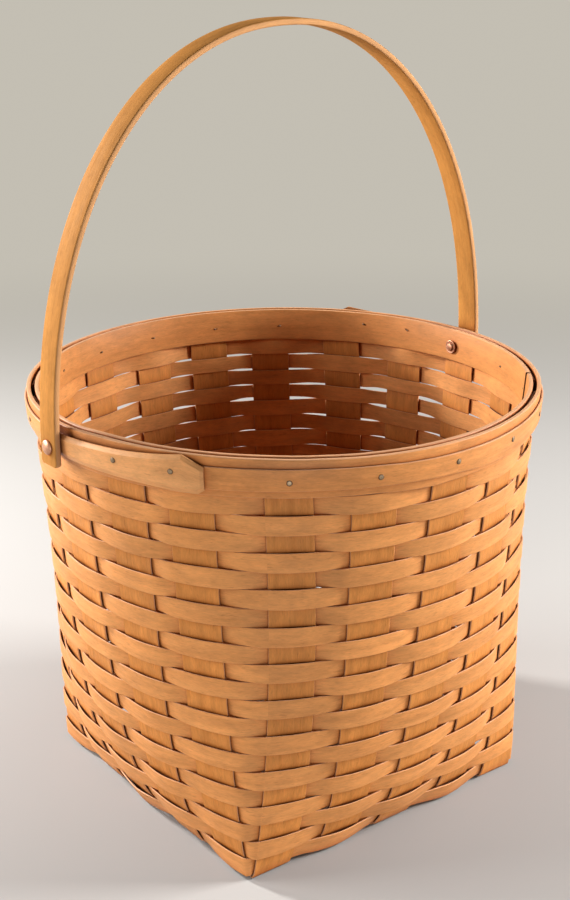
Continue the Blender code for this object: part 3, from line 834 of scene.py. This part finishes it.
def make_ear(wall, name, material):
    """Backing strip with chamfered edges that widens and ends in two clipped corners."""
    sizes = wall.sizes
    top = sizes.height - sizes.ear_start_top
    bottom = sizes.height - sizes.ear_start_bottom
    radius = wall.radius(top) + wall.ear_outside
    pivot = wall.ear_turn(name)
    first, last = pivot - sizes.ear_start / radius, pivot + sizes.ear_reach / radius
    top_clip, bottom_clip = sizes.top_clip_length / radius, sizes.bottom_clip_length / radius
    full = last - top_clip
    turns = [first + (full - first) * step / EAR_STEPS for step in range(EAR_STEPS + 1)]
    turns += [full + top_clip * step / CLIP_STEPS for step in range(1, CLIP_STEPS + 1)]
    half_depth = sizes.ear_thickness / 2
    shoulder = half_depth - sizes.ear_chamfer_depth
    rings = []
    for turn in turns:
        wider = min((turn - first) / (full - first), 1) ** EAR_WIDENING_POWER
        rise = rim_rises(turn)[0] * EAR_RISE_SHARE
        high = top + (sizes.ear_start_top + sizes.ear_end_rise) * wider + rise
        low = bottom - (sizes.ear_end_bottom - sizes.ear_start_bottom) * wider
        high -= sizes.top_clip_height * max(turn - last + top_clip, 0) / top_clip
        low += sizes.bottom_clip_height * max(turn - last + bottom_clip, 0) / bottom_clip
        inside = min((last - turn) * radius / EAR_END_EASE, (turn - first) * radius / EAR_START_EASE, 1)
        face = half_depth - EAR_END_THINNING * (1 - inside)
        half = (high - low) / 2
        outline = [(half, shoulder), (half - sizes.ear_bottom_chamfer, face),
                   (-half + sizes.ear_top_chamfer, face), (-half, shoulder),
                   (-half, -half_depth), (half, -half_depth)]
        point, up, out = wall.rim_place(turn, wall.ear + half_depth, (high + low) / 2)
        rings.append(ring(point, -up, out, outline))
    piece = f"{name}_ear"
    skin(piece, rings, material, "basket", [f"ear_{name}"], GRAIN_SEEDS[piece],
         smooth_angle=CHAMFER_ANGLE)


# Handle

def signed_power(value, exponent):
    """Power of a value's size, with the value's sign."""
    return math.copysign(abs(value) ** exponent, value)


def handle_path(wall):
    """Places along the bent strip as (along the pivot line, height, half width), right leg first."""
    sizes = wall.sizes
    middle = wall.handle_leg()
    half = sizes.handle_width / 2
    tail = [(middle, -sizes.handle_tail, half - sizes.handle_clip)]
    tail += [(middle, -sizes.handle_tail + sizes.handle_clip + step * LEG_STEP, half)
             for step in range(LEG_POINTS)]
    arch = []
    exponent = 2 / sizes.handle_power
    for step in range(1, ARCH_STEPS):
        angle = math.pi * step / ARCH_STEPS
        arch.append((middle * signed_power(math.cos(angle), exponent),
                     sizes.handle_rise * signed_power(math.sin(angle), exponent), half))
    other = [(-x, z, width) for x, z, width in reversed(tail)]
    return tail + arch + other


def make_handle(wall, material):
    """Bent strip over the basket, on the turned pivot line."""
    sizes = wall.sizes
    path = handle_path(wall)
    turned = Matrix.Rotation(sizes.pivot_skew, 4, "Z")
    foot = wall.pivot_foot()
    rings = []
    for step, (x, z, half) in enumerate(path):
        before, after = path[max(step - 1, 0)], path[min(step + 1, len(path) - 1)]
        run = Vector((after[0] - before[0], 0, after[1] - before[1])).normalized()
        depth = turned @ Vector((run.z, 0, -run.x))
        across = turned @ Vector((0, 1, 0))
        outline = rounded_outline(half, sizes.handle_thickness / 2, HANDLE_EDGE, 3)
        rings.append(ring(foot + turned @ Vector((x, 0, z)), across, depth, outline))
    name = "bent_handle"
    skin(name, rings, material, "handle", ["handle"], GRAIN_SEEDS[name],
         edges=edge_shares(outline))


# Rivets and nails

def spin(name, profile, sides, material, frame, nodes, uneven=0.0, seed=0):
    """Spin (radius, height) points about the frame's Z axis, a little out of round.

    Each corner keeps its distance from the axis as a share of the piece's radius.
    """
    verts, rings, shares = [], [], []
    whole = max(radius for radius, _ in profile)
    for radius, height in profile:
        if radius == 0:
            rings.append([len(verts)])
            verts.append(frame @ Vector((0, 0, height)))
            shares.append(0.0)
            continue
        row = []
        for index in range(sides):
            angle = math.tau * index / sides
            lobes = uneven * math.sin(3 * angle + seed), uneven * math.sin(5 * angle + 2 * seed)
            own = radius * (1 + lobes[0] + lobes[1])
            row.append(len(verts))
            verts.append(frame @ Vector((own * math.cos(angle), own * math.sin(angle), height)))
            shares.append(radius / whole)
        rings.append(row)
    faces = []
    for low, high in zip(rings, rings[1:]):
        for index in range(sides):
            after = (index + 1) % sides
            corners = (low[index % len(low)], high[index % len(high)],
                       high[after % len(high)], low[after % len(low)])
            faces.append(tuple(dict.fromkeys(corners)))
    mesh = bpy.data.meshes.new(name)
    mesh.from_pydata(verts, [], faces)
    mesh.attributes.new("reach", "FLOAT", "POINT").data.foreach_set("value", shares)
    place_piece(name, mesh, material, "basket", nodes)


def dome(radius, foot, height, steps=7, edge=0.12):
    """Profile of a domed head from its top down; edge is the share of its height left at its rim."""
    points = [(0, foot + height)]
    for step in range(1, steps + 1):
        angle = math.pi / 2 * step / steps
        points.append((radius * math.sin(angle), foot + height * (edge + (1 - edge) * math.cos(angle))))
    points.append((radius * HEAD_FOOT_SHARE, foot))
    return points


def washer_seat(wall):
    """Distance along the pivot line at which a washer's face meets the inner hoop."""
    sizes = wall.sizes
    lowest = wall.radius(sizes.height - sizes.pivot_drop - sizes.washer_radius) + wall.inner_band
    return math.sqrt(lowest ** 2 - (sizes.washer_radius + sizes.pivot_offset) ** 2) - WASHER_GAP


def make_rivets(wall, material):
    """Rivets through the handle and the rim, each peened over a washer inside."""
    sizes = wall.sizes
    head = wall.handle_leg() + sizes.handle_thickness / 2 + RIVET_GAP
    outer = washer_seat(wall)
    inner = outer - sizes.washer_thickness
    shank, hole, edge = sizes.shank_radius, sizes.shank_radius + RIVET_GAP, sizes.washer_radius
    chamfer = WASHER_CHAMFER
    rivet = dome(sizes.rivet_radius, head, sizes.rivet_height) + [(shank, head), (shank, inner)]
    rivet += [(sizes.tail_radius * across, inner - RIVET_GAP - sizes.tail_height * down)
              for across, down in TAIL_SHAPE]
    washer = [(hole, outer), (edge - chamfer, outer), (edge, outer - chamfer), (edge, inner + chamfer),
              (edge - WASHER_LIP, inner), (edge - WASHER_DISH, inner + chamfer / 2),
              (hole, inner + chamfer), (hole, outer)]
    for seed, name in enumerate(HANDLE_SIDES):
        frame_at = wall.pivot_frame(name)
        spin(f"{name}_rivet", rivet, RIVET_SIDES, material, frame_at, [f"rivet_{name}"],
             RIVET_UNEVEN, seed)
        spin(f"{name}_washer", washer, RIVET_SIDES, material, frame_at, [f"rivet_washer_{name}"],
             WASHER_UNEVEN, seed + 3)


def nail_turns():
    """Turns from the front of the stakes that no ear covers."""
    turns = []
    for side in range(SIDES):
        for index in range(STAKES_PER_SIDE):
            place = index - LAST_PLACE
            if not (side in HANDLE_SIDES.values() and place > -0.5):
                turns.append(side * QUARTER_TURN + place * STAKE_TURN)
    return turns


def make_nail(wall, name, node, turn, z, outside, material, stained, seed):
    """Domed head outside and a tip bent over against the inner hoop."""
    sizes = wall.sizes
    frame_at = outward_frame(turn, Vector((0, 0, z)))
    seat = wall.radius(z) + outside - NAIL_SINK
    face = wall.radius(z) + wall.inner_band
    head = dome(sizes.nail_radius, seat, sizes.nail_height, steps=4, edge=0.35)
    shank = [(NAIL_SHANK, seat)] + [(radius, face - depth) for radius, depth in NAIL_POINT]
    spin(name, head + shank, NAIL_SIDES, material, frame_at, [node], NAIL_UNEVEN, seed)
    slant = random.Random(seed).uniform(-CLINCH_SLANT, CLINCH_SLANT)
    slant += math.pi if seed % CLINCH_TURNED == 0 else 0
    along = frame_at @ Vector((math.cos(slant), math.sin(slant), 0)) - frame_at.translation
    depth = frame_at @ Vector((0, 0, 1)) - frame_at.translation
    side = along.cross(depth).normalized()
    start = frame_at @ Vector((0, 0, face - CLINCH_STAND))
    rings = []
    for share, width in CLINCH_SHAPE:
        lift = depth * (CLINCH_STAND - CLINCH_RETURN * share)
        middle = start + along * (share * sizes.clinch_length) - lift
        outline = rounded_outline(*[measure * width for measure in CLINCH_HALVES_AND_EDGE])
        rings.append(ring(middle, side, depth, outline))
    skin(f"{name}_clinch", rings, stained, "basket", [node], seed)


def make_nails(wall, material, stained):
    """Nails through the narrow strip, one at each stake that no ear covers, and two through each ear."""
    sizes = wall.sizes
    trim_middle = sizes.height - sizes.trim_drop - sizes.trim_height / 2
    for number, turn in enumerate(nail_turns(), start=1):
        outside = wall.trim + sizes.trim_thickness
        make_nail(wall, f"trim_nail_{number}", f"nail_trim_{number}", turn, trim_middle, outside, material,
                  stained, number)
    z = sizes.height - sizes.ear_nail_drop
    for name, side in HANDLE_SIDES.items():
        for number, step in enumerate((STAKE_TURN, sizes.ear_nail_reach / sizes.rim_radius), start=1):
            turn = side * QUARTER_TURN + step
            make_nail(wall, f"ear_nail_{name}_{number}", f"nail_ear_{name}_{number}", turn, z,
                      wall.ear_outside, material, stained, EAR_NAIL_SEED + 2 * side + number)


# Nodes that the materials share

def add(tree, kind, inputs=None, **settings):
    """A node with its settings and inputs; an input given as a socket is linked."""
    node = tree.nodes.new(kind)
    for key, value in settings.items():
        setattr(node, key, value)
    for key, value in (inputs or {}).items():
        if isinstance(value, NodeSocket):
            tree.links.new(value, node.inputs[key])
        else:
            node.inputs[key].default_value = value
    return node


def maths(tree, operation, first, second, clamp=False):
    """One step of arithmetic on two values."""
    made = add(tree, "ShaderNodeMath", {0: first, 1: second}, operation=operation, use_clamp=clamp)
    return made.outputs[0]


def blended(tree, share, first, second, blend="MIX"):
    """The first colour with a share of the second mixed in, or multiplied by it."""
    mix = add(tree, "ShaderNodeMix", {0: share, 6: first, 7: second}, data_type="RGBA", blend_type=blend)
    return mix.outputs[2]


def stretched(tree, parts, run, spread, shift):
    """Grain coordinates with their own scale along and across the strip."""
    vector = add(tree, "ShaderNodeCombineXYZ", {0: maths(tree, "MULTIPLY", parts[0], run),
                                                1: maths(tree, "MULTIPLY", parts[1], spread),
                                                2: maths(tree, "ADD", parts[2], shift)})
    return vector.outputs[0]


def noisy(tree, vector, scale=1.0, detail=4.0, roughness=0.6, distortion=0.0):
    """Cloudy noise between 0 and 1."""
    made = add(tree, "ShaderNodeTexNoise", {"Vector": vector, "Scale": scale, "Detail": detail,
                                            "Roughness": roughness, "Distortion": distortion})
    return made.outputs["Fac"]


def ramped(tree, value, low, high, **settings):
    """The value's share of the way from low to high."""
    made = add(tree, "ShaderNodeMapRange", {"Value": value, "From Min": low, "From Max": high}, **settings)
    return made.outputs["Result"]


def start_material(name):
    """A new material, its node tree and its shader."""
    material = bpy.data.materials.new(name)
    material.use_nodes = True
    tree = material.node_tree
    return material, tree, tree.nodes["Principled BSDF"]


def spanned(tree, value, low, high, start=0.3, stop=0.7):
    """Noise between start and stop, laid out from low to high."""
    made = add(tree, "ShaderNodeMapRange", {"Value": value, "From Min": start, "From Max": stop,
                                            "To Min": low, "To Max": high})
    return made.outputs["Result"]


def product(tree, *values):
    """All the values multiplied together."""
    made = values[0]
    for value in values[1:]:
        made = maths(tree, "MULTIPLY", made, value)
    return made


# Materials

def tinted(base, shares):
    """A colour with each channel multiplied by its share, never above 1."""
    return (*[min(1.0, channel * share) for channel, share in zip(base, shares)], 1.0)


def figure(tree, parts, run, spread, shift, **settings):
    """Noise laid along a strip, so many times to the metre along and across it."""
    return noisy(tree, stretched(tree, parts, run, spread, shift), **settings)


def wood(name, base, deepen, spread, streak, roughness, bump, gloss=0.30, edge_highlight_strength=0.50):
    """Split or sawn wood: growth bands, streaks, short flecks, mottle and a tint of its own.

    deepen is the depth of the dark figure, spread the bands across a metre, streak the streaks' share of
    the figure, bump the relief's strength and edge_highlight_strength the painted highlight, with wear
    from rubbing, on thin edges.
    """
    material, tree, shader = start_material(name)
    held = add(tree, "ShaderNodeAttribute", attribute_name="grain")
    parts = add(tree, "ShaderNodeSeparateXYZ", {0: held.outputs["Vector"]}).outputs
    bands = figure(tree, parts, run=5.0, spread=spread, shift=0.0, detail=3.0, distortion=0.6)
    streaks = figure(tree, parts, run=26.0, spread=spread * 4, shift=5.0, detail=5.0, roughness=0.72)
    flecks = figure(tree, parts, run=190.0, spread=1100.0, shift=9.0, detail=2.0, roughness=0.5)
    fibre = figure(tree, parts, run=300.0, spread=2400.0, shift=17.0, detail=2.0)
    mottle = figure(tree, parts, run=70.0, spread=190.0, shift=13.0, detail=4.0, roughness=0.65)
    tint = figure(tree, parts, run=11.0, spread=0.0, shift=21.0, detail=2.0)
    banded = maths(tree, "MULTIPLY", ramped(tree, bands, 0.30, 0.72), 1 - streak)
    streaked = maths(tree, "MULTIPLY", ramped(tree, streaks, 0.28, 0.74), streak)
    depth = maths(tree, "MULTIPLY", maths(tree, "ADD", banded, streaked), deepen)
    surface = blended(tree, depth, tinted(base, LIGHT_SHARES), tinted(base, DEEP_SHARES))
    dark_flecks = maths(tree, "MULTIPLY", ramped(tree, flecks, 0.60, 0.78), 0.40)
    surface = blended(tree, dark_flecks, surface, tinted(base, FLECK_SHARES))
    shade = product(tree, spanned(tree, mottle, 0.86, 1.11), spanned(tree, fibre, 0.93, 1.07),
                    spanned(tree, tint, 0.86, 1.13))
    toned = add(tree, "ShaderNodeHueSaturation", {"Color": surface, "Value": shade}).outputs["Color"]
    # Painted shade: darkened where the ambient occlusion node finds the wood hidden, near-black in corners
    # and crevices
    open_share = add(tree, "ShaderNodeAmbientOcclusion", {"Distance": 0.008}, samples=6).outputs["AO"]
    hidden = maths(tree, "SUBTRACT", 1.0, open_share)
    toned = blended(tree, hidden, toned, PAINTED_SHADE_TINT, "MULTIPLY")
    painted_corner_share = maths(tree, "MULTIPLY", ramped(tree, hidden, 0.46, 0.88), 0.90)
    toned = blended(tree, painted_corner_share, toned, PAINTED_CORNER_SHADE)
    edge = add(tree, "ShaderNodeAttribute", attribute_name="edge").outputs["Fac"]
    # Painted highlight, with wear from rubbing, on the thin edges where the edge attribute and the mottle
    # are high
    edge_highlight_mask = ramped(tree, maths(tree, "ADD", edge, maths(tree, "MULTIPLY", mottle, 0.6)), 0.75, 1.15)
    toned = blended(tree, maths(tree, "MULTIPLY", edge_highlight_mask, edge_highlight_strength), toned, EDGE_HIGHLIGHT_AND_WEAR)
    # Painted shade in the open joint, with the dark of end grain, where the edge attribute holds the
    # joint's mark
    joint_shade_share = maths(tree, "DIVIDE", edge, JOINT_SHADE_MARK, clamp=True)
    toned = blended(tree, joint_shade_share, toned, END_GRAIN_AND_JOINT_SHADE)
    bounced = add(tree, "ShaderNodeLightPath").outputs["Is Diffuse Ray"]
    toned = blended(tree, bounced, toned, BOUNCE_TINT, "MULTIPLY")
    tree.links.new(toned, shader.inputs["Base Color"])
    tree.links.new(spanned(tree, streaks, roughness - 0.08, roughness + 0.10), shader.inputs["Roughness"])
    relief = maths(tree, "SUBTRACT", maths(tree, "ADD", streaks, maths(tree, "MULTIPLY", mottle, 0.6)),
                   maths(tree, "MULTIPLY", ramped(tree, flecks, 0.58, 0.78), 0.5))
    bumped = add(tree, "ShaderNodeBump", {"Height": relief, "Strength": bump, "Distance": 0.0004})
    tree.links.new(bumped.outputs["Normal"], shader.inputs["Normal"])
    shader.inputs["Specular IOR Level"].default_value = gloss
    return material


def metal(name, base, dark_metal_colour, roughness, dark_rim_start):
    """Old metal with tarnished spots, darker towards its rim; on the nails that dark rim is painted shade
    of the dent round each head, with tarnishing. dark_rim_start is the share of its radius where it
    darkens.
    """
    material, tree, shader = start_material(name)
    where = add(tree, "ShaderNodeTexCoord").outputs["Object"]
    reach = add(tree, "ShaderNodeAttribute", attribute_name="reach").outputs["Fac"]
    cloud = noisy(tree, where, 320.0, 4.0)
    fine = noisy(tree, where, 1900.0, 3.0)
    spots = maths(tree, "MULTIPLY", ramped(tree, cloud, 0.42, 0.72), 0.55)
    uneven_reach = maths(tree, "ADD", reach, maths(tree, "MULTIPLY", cloud, 0.2))
    # Darker towards the rim: on the nails, painted shade of the dent round the head, with tarnishing
    edge = ramped(tree, uneven_reach, dark_rim_start, dark_rim_start + 0.25)
    surface = blended(tree, maths(tree, "MAXIMUM", spots, edge), (*base, 1.0), (*dark_metal_colour, 1.0))
    tree.links.new(surface, shader.inputs["Base Color"])
    tree.links.new(spanned(tree, fine, roughness - 0.1, roughness + 0.12), shader.inputs["Roughness"])
    bumped = add(tree, "ShaderNodeBump", {"Height": cloud, "Strength": 0.25, "Distance": 0.0003})
    tree.links.new(bumped.outputs["Normal"], shader.inputs["Normal"])
    shader.inputs["Metallic"].default_value = 1.0
    return material


# Stage

def seen_directly(tree):
    """1 for rays from the camera and for those mirrored or passed on by metal and glass, else 0."""
    rays = add(tree, "ShaderNodeLightPath").outputs
    mirrored = maths(tree, "MAXIMUM", rays["Is Glossy Ray"], rays["Is Transmission Ray"])
    return maths(tree, "MAXIMUM", rays["Is Camera Ray"], mirrored)


def make_floor(stage, colours):
    """Wide floor that fades into the backdrop's colour away from the basket."""
    material, tree, shader = start_material("pale_floor")
    where = add(tree, "ShaderNodeTexCoord").outputs["Object"]
    away = add(tree, "ShaderNodeVectorMath", {0: where}, operation="LENGTH").outputs["Value"]
    far = ramped(tree, away, stage.fade_start, stage.fade_end, interpolation_type="SMOOTHSTEP")
    value = spanned(tree, noisy(tree, where, 2.0, 2.0), 0.98, 1.01)
    near = add(tree, "ShaderNodeHueSaturation", {"Color": (*colours.floor, 1.0), "Value": value})
    tree.links.new(blended(tree, far, near.outputs["Color"], BLACK), shader.inputs["Base Color"])
    shader.inputs["Emission Color"].default_value = (*colours.backdrop, 1.0)
    tree.links.new(product(tree, far, seen_directly(tree)), shader.inputs["Emission Strength"])
    shader.inputs["Roughness"].default_value = 0.7
    shader.inputs["Specular IOR Level"].default_value = 0.0
    half, z = stage.floor_size / 2, -stage.floor_drop
    corners = [(-half, -half, z), (half, -half, z), (half, half, z), (-half, half, z)]
    mesh = bpy.data.meshes.new("floor")
    mesh.from_pydata(corners, [], [(0, 1, 2, 3)])
    mesh.materials.append(material)
    floor = bpy.data.objects.new("floor", mesh)
    bpy.context.scene.collection.objects.link(floor)


def add_lamp(name, watts, width, height, place):
    """Rectangular lamp that points at the basket."""
    lamp = bpy.data.lights.new(name, "AREA")
    lamp.shape = "RECTANGLE"
    lamp.size, lamp.size_y = width, height
    lamp.energy = watts
    holder = bpy.data.objects.new(name, lamp)
    holder.location = place
    holder.rotation_mode = "QUATERNION"
    holder.rotation_quaternion = (LAMP_AIM - place).to_track_quat("-Z", "Y")
    bpy.context.scene.collection.objects.link(holder)


def make_camera(stage):
    """Camera at the photo's angle, aimed at the middle of the basket."""
    turn, lift, roll = stage.camera_azimuth, stage.camera_elevation, stage.camera_roll
    forward = Vector((-math.sin(turn) * math.cos(lift), math.cos(turn) * math.cos(lift), -math.sin(lift)))
    right = Vector((math.cos(turn), math.sin(turn), 0))
    up = right.cross(forward)
    rolled_right = right * math.cos(roll) + up * math.sin(roll)
    rolled_up = up * math.cos(roll) - right * math.sin(roll)
    aim = Vector((*CAMERA_AIM, stage.aim_height))
    data = bpy.data.cameras.new("camera")
    data.lens = stage.lens
    data.sensor_width = SENSOR_WIDTH
    camera = bpy.data.objects.new("camera", data)
    placed = Matrix((rolled_right, rolled_up, -forward)).transposed().to_4x4()
    placed.translation = aim - forward * stage.camera_distance
    camera.matrix_world = placed
    bpy.context.scene.collection.objects.link(camera)
    bpy.context.scene.camera = camera


def make_stage(stage, colours):
    """Floor, world of the backdrop's colour, lamps placed about the camera's view, and the camera."""
    scene = bpy.context.scene
    scene.view_settings.view_transform = "Standard"
    make_floor(stage, colours)
    world = bpy.data.worlds.new("studio")
    world.use_nodes = True
    tree = world.node_tree
    background = tree.nodes["Background"]
    background.inputs["Color"].default_value = (*colours.backdrop, 1.0)
    strength = maths(tree, "MAXIMUM", seen_directly(tree), stage.world_level)
    tree.links.new(strength, background.inputs["Strength"])
    scene.world = world
    turn = stage.camera_azimuth
    towards = Vector((math.sin(turn), -math.cos(turn), 0))
    side = Vector((math.cos(turn), math.sin(turn), 0))
    for name, (width, height, aside, near, up) in LAMPS.items():
        place = side * aside + towards * near + UP * up
        add_lamp(f"{name}_softbox", getattr(stage, f"{name}_power"), width, height, place)
    make_camera(stage)


# Operators and panel

class BASKET_OT_splints(Operator):
    """Build the ten splints that make the plaited base and the stakes"""
    bl_idname = "basket.make_splints"
    bl_label = "Base and stakes"

    def execute(self, context):
        wall = Wall(context.scene.basket_sizes)
        material = wood("stake_wood", context.scene.basket_colours.stake, deepen=0.75, spread=260.0,
                        streak=0.5, roughness=0.52, bump=0.35)
        for family in ("x", "y"):
            for index in range(STAKES_PER_SIDE):
                make_splint(wall, family, index, material)
        return {"FINISHED"}


class BASKET_OT_weavers(Operator):
    """Weave the rows round the stakes"""
    bl_idname = "basket.make_weavers"
    bl_label = "Weaving"

    def execute(self, context):
        wall = Wall(context.scene.basket_sizes)
        material = wood("weaver_wood", context.scene.basket_colours.weaver, deepen=0.60, spread=150.0,
                        streak=0.4, roughness=0.50, bump=0.25)
        for row in range(1, ROWS + 1):
            make_weaver(wall, row, material)
        return {"FINISHED"}


class BASKET_OT_rim(Operator):
    """Build the hoops, the trim and the ears"""
    bl_idname = "basket.make_rim"
    bl_label = "Rim and ears"

    def execute(self, context):
        wall = Wall(context.scene.basket_sizes)
        colours = context.scene.basket_colours
        rim_wood = wood("rim_wood", colours.rim, deepen=0.70, spread=170.0, streak=0.45,
                        roughness=0.46, bump=0.3)
        make_hoops(wall, rim_wood)
        ear_wood = wood("ear_wood", colours.ear, deepen=0.70, spread=230.0, streak=0.5,
                        roughness=0.50, bump=0.3)
        for name in HANDLE_SIDES:
            make_ear(wall, name, ear_wood)
        return {"FINISHED"}


class BASKET_OT_handle(Operator):
    """Bend the handle"""
    bl_idname = "basket.make_handle"
    bl_label = "Handle"

    def execute(self, context):
        wall = Wall(context.scene.basket_sizes)
        material = wood("handle_wood", context.scene.basket_colours.handle, deepen=0.65, spread=190.0,
                        streak=0.5, roughness=0.66, bump=0.3, gloss=0.05, edge_highlight_strength=0.30)
        make_handle(wall, material)
        return {"FINISHED"}


class BASKET_OT_fittings(Operator):
    """Make the rivets, washers and nails"""
    bl_idname = "basket.make_fittings"
    bl_label = "Rivets and nails"

    def execute(self, context):
        wall = Wall(context.scene.basket_sizes)
        colours = context.scene.basket_colours
        copper = metal("old_copper", colours.copper, dark_metal_colour=COPPER_TARNISH, roughness=0.44,
                       dark_rim_start=1.0)
        brass = metal("old_nails", colours.nail, dark_metal_colour=NAIL_TARNISH_AND_DENT_SHADE, roughness=0.50, dark_rim_start=0.72)
        tips = metal("clinched_tips", colours.stain, dark_metal_colour=TIP_TARNISH, roughness=0.6, dark_rim_start=2.0)
        make_rivets(wall, copper)
        make_nails(wall, brass, tips)
        return {"FINISHED"}


class BASKET_OT_stage(Operator):
    """Lay the floor and set the lamps and the camera"""
    bl_idname = "basket.make_stage"
    bl_label = "Stage"

    def execute(self, context):
        make_stage(context.scene.basket_stage, context.scene.basket_colours)
        return {"FINISHED"}


MAKERS = (BASKET_OT_splints, BASKET_OT_weavers, BASKET_OT_rim, BASKET_OT_handle, BASKET_OT_fittings,
          BASKET_OT_stage)


class BASKET_PT_panel(Panel):
    """Lists the basket's operators, sizes and colours"""
    bl_label = "Splint basket"
    bl_space_type = "VIEW_3D"
    bl_region_type = "UI"
    bl_category = "Basket"

    def draw(self, context):
        for maker in MAKERS:
            self.layout.operator(maker.bl_idname)
        scene = context.scene
        for group in (scene.basket_sizes, scene.basket_colours, scene.basket_stage):
            box = self.layout.box()
            for name in group.bl_rna.properties.keys():
                if name not in ("rna_type", "name"):
                    box.prop(group, name)


CLASSES = (BasketSizes, BasketColours, StageSettings, *MAKERS, BASKET_PT_panel)


def register():
    for made in CLASSES:
        bpy.utils.register_class(made)
    bpy.types.Scene.basket_sizes = PointerProperty(type=BasketSizes)
    bpy.types.Scene.basket_colours = PointerProperty(type=BasketColours)
    bpy.types.Scene.basket_stage = PointerProperty(type=StageSettings)


def unregister():
    del bpy.types.Scene.basket_stage
    del bpy.types.Scene.basket_colours
    del bpy.types.Scene.basket_sizes
    for made in reversed(CLASSES):
        bpy.utils.unregister_class(made)


def main():
    register()
    bpy.ops.basket.make_splints()
    bpy.ops.basket.make_weavers()
    bpy.ops.basket.make_rim()
    bpy.ops.basket.make_handle()
    bpy.ops.basket.make_fittings()
    bpy.ops.basket.make_stage()


if __name__ == "__main__":
    main()
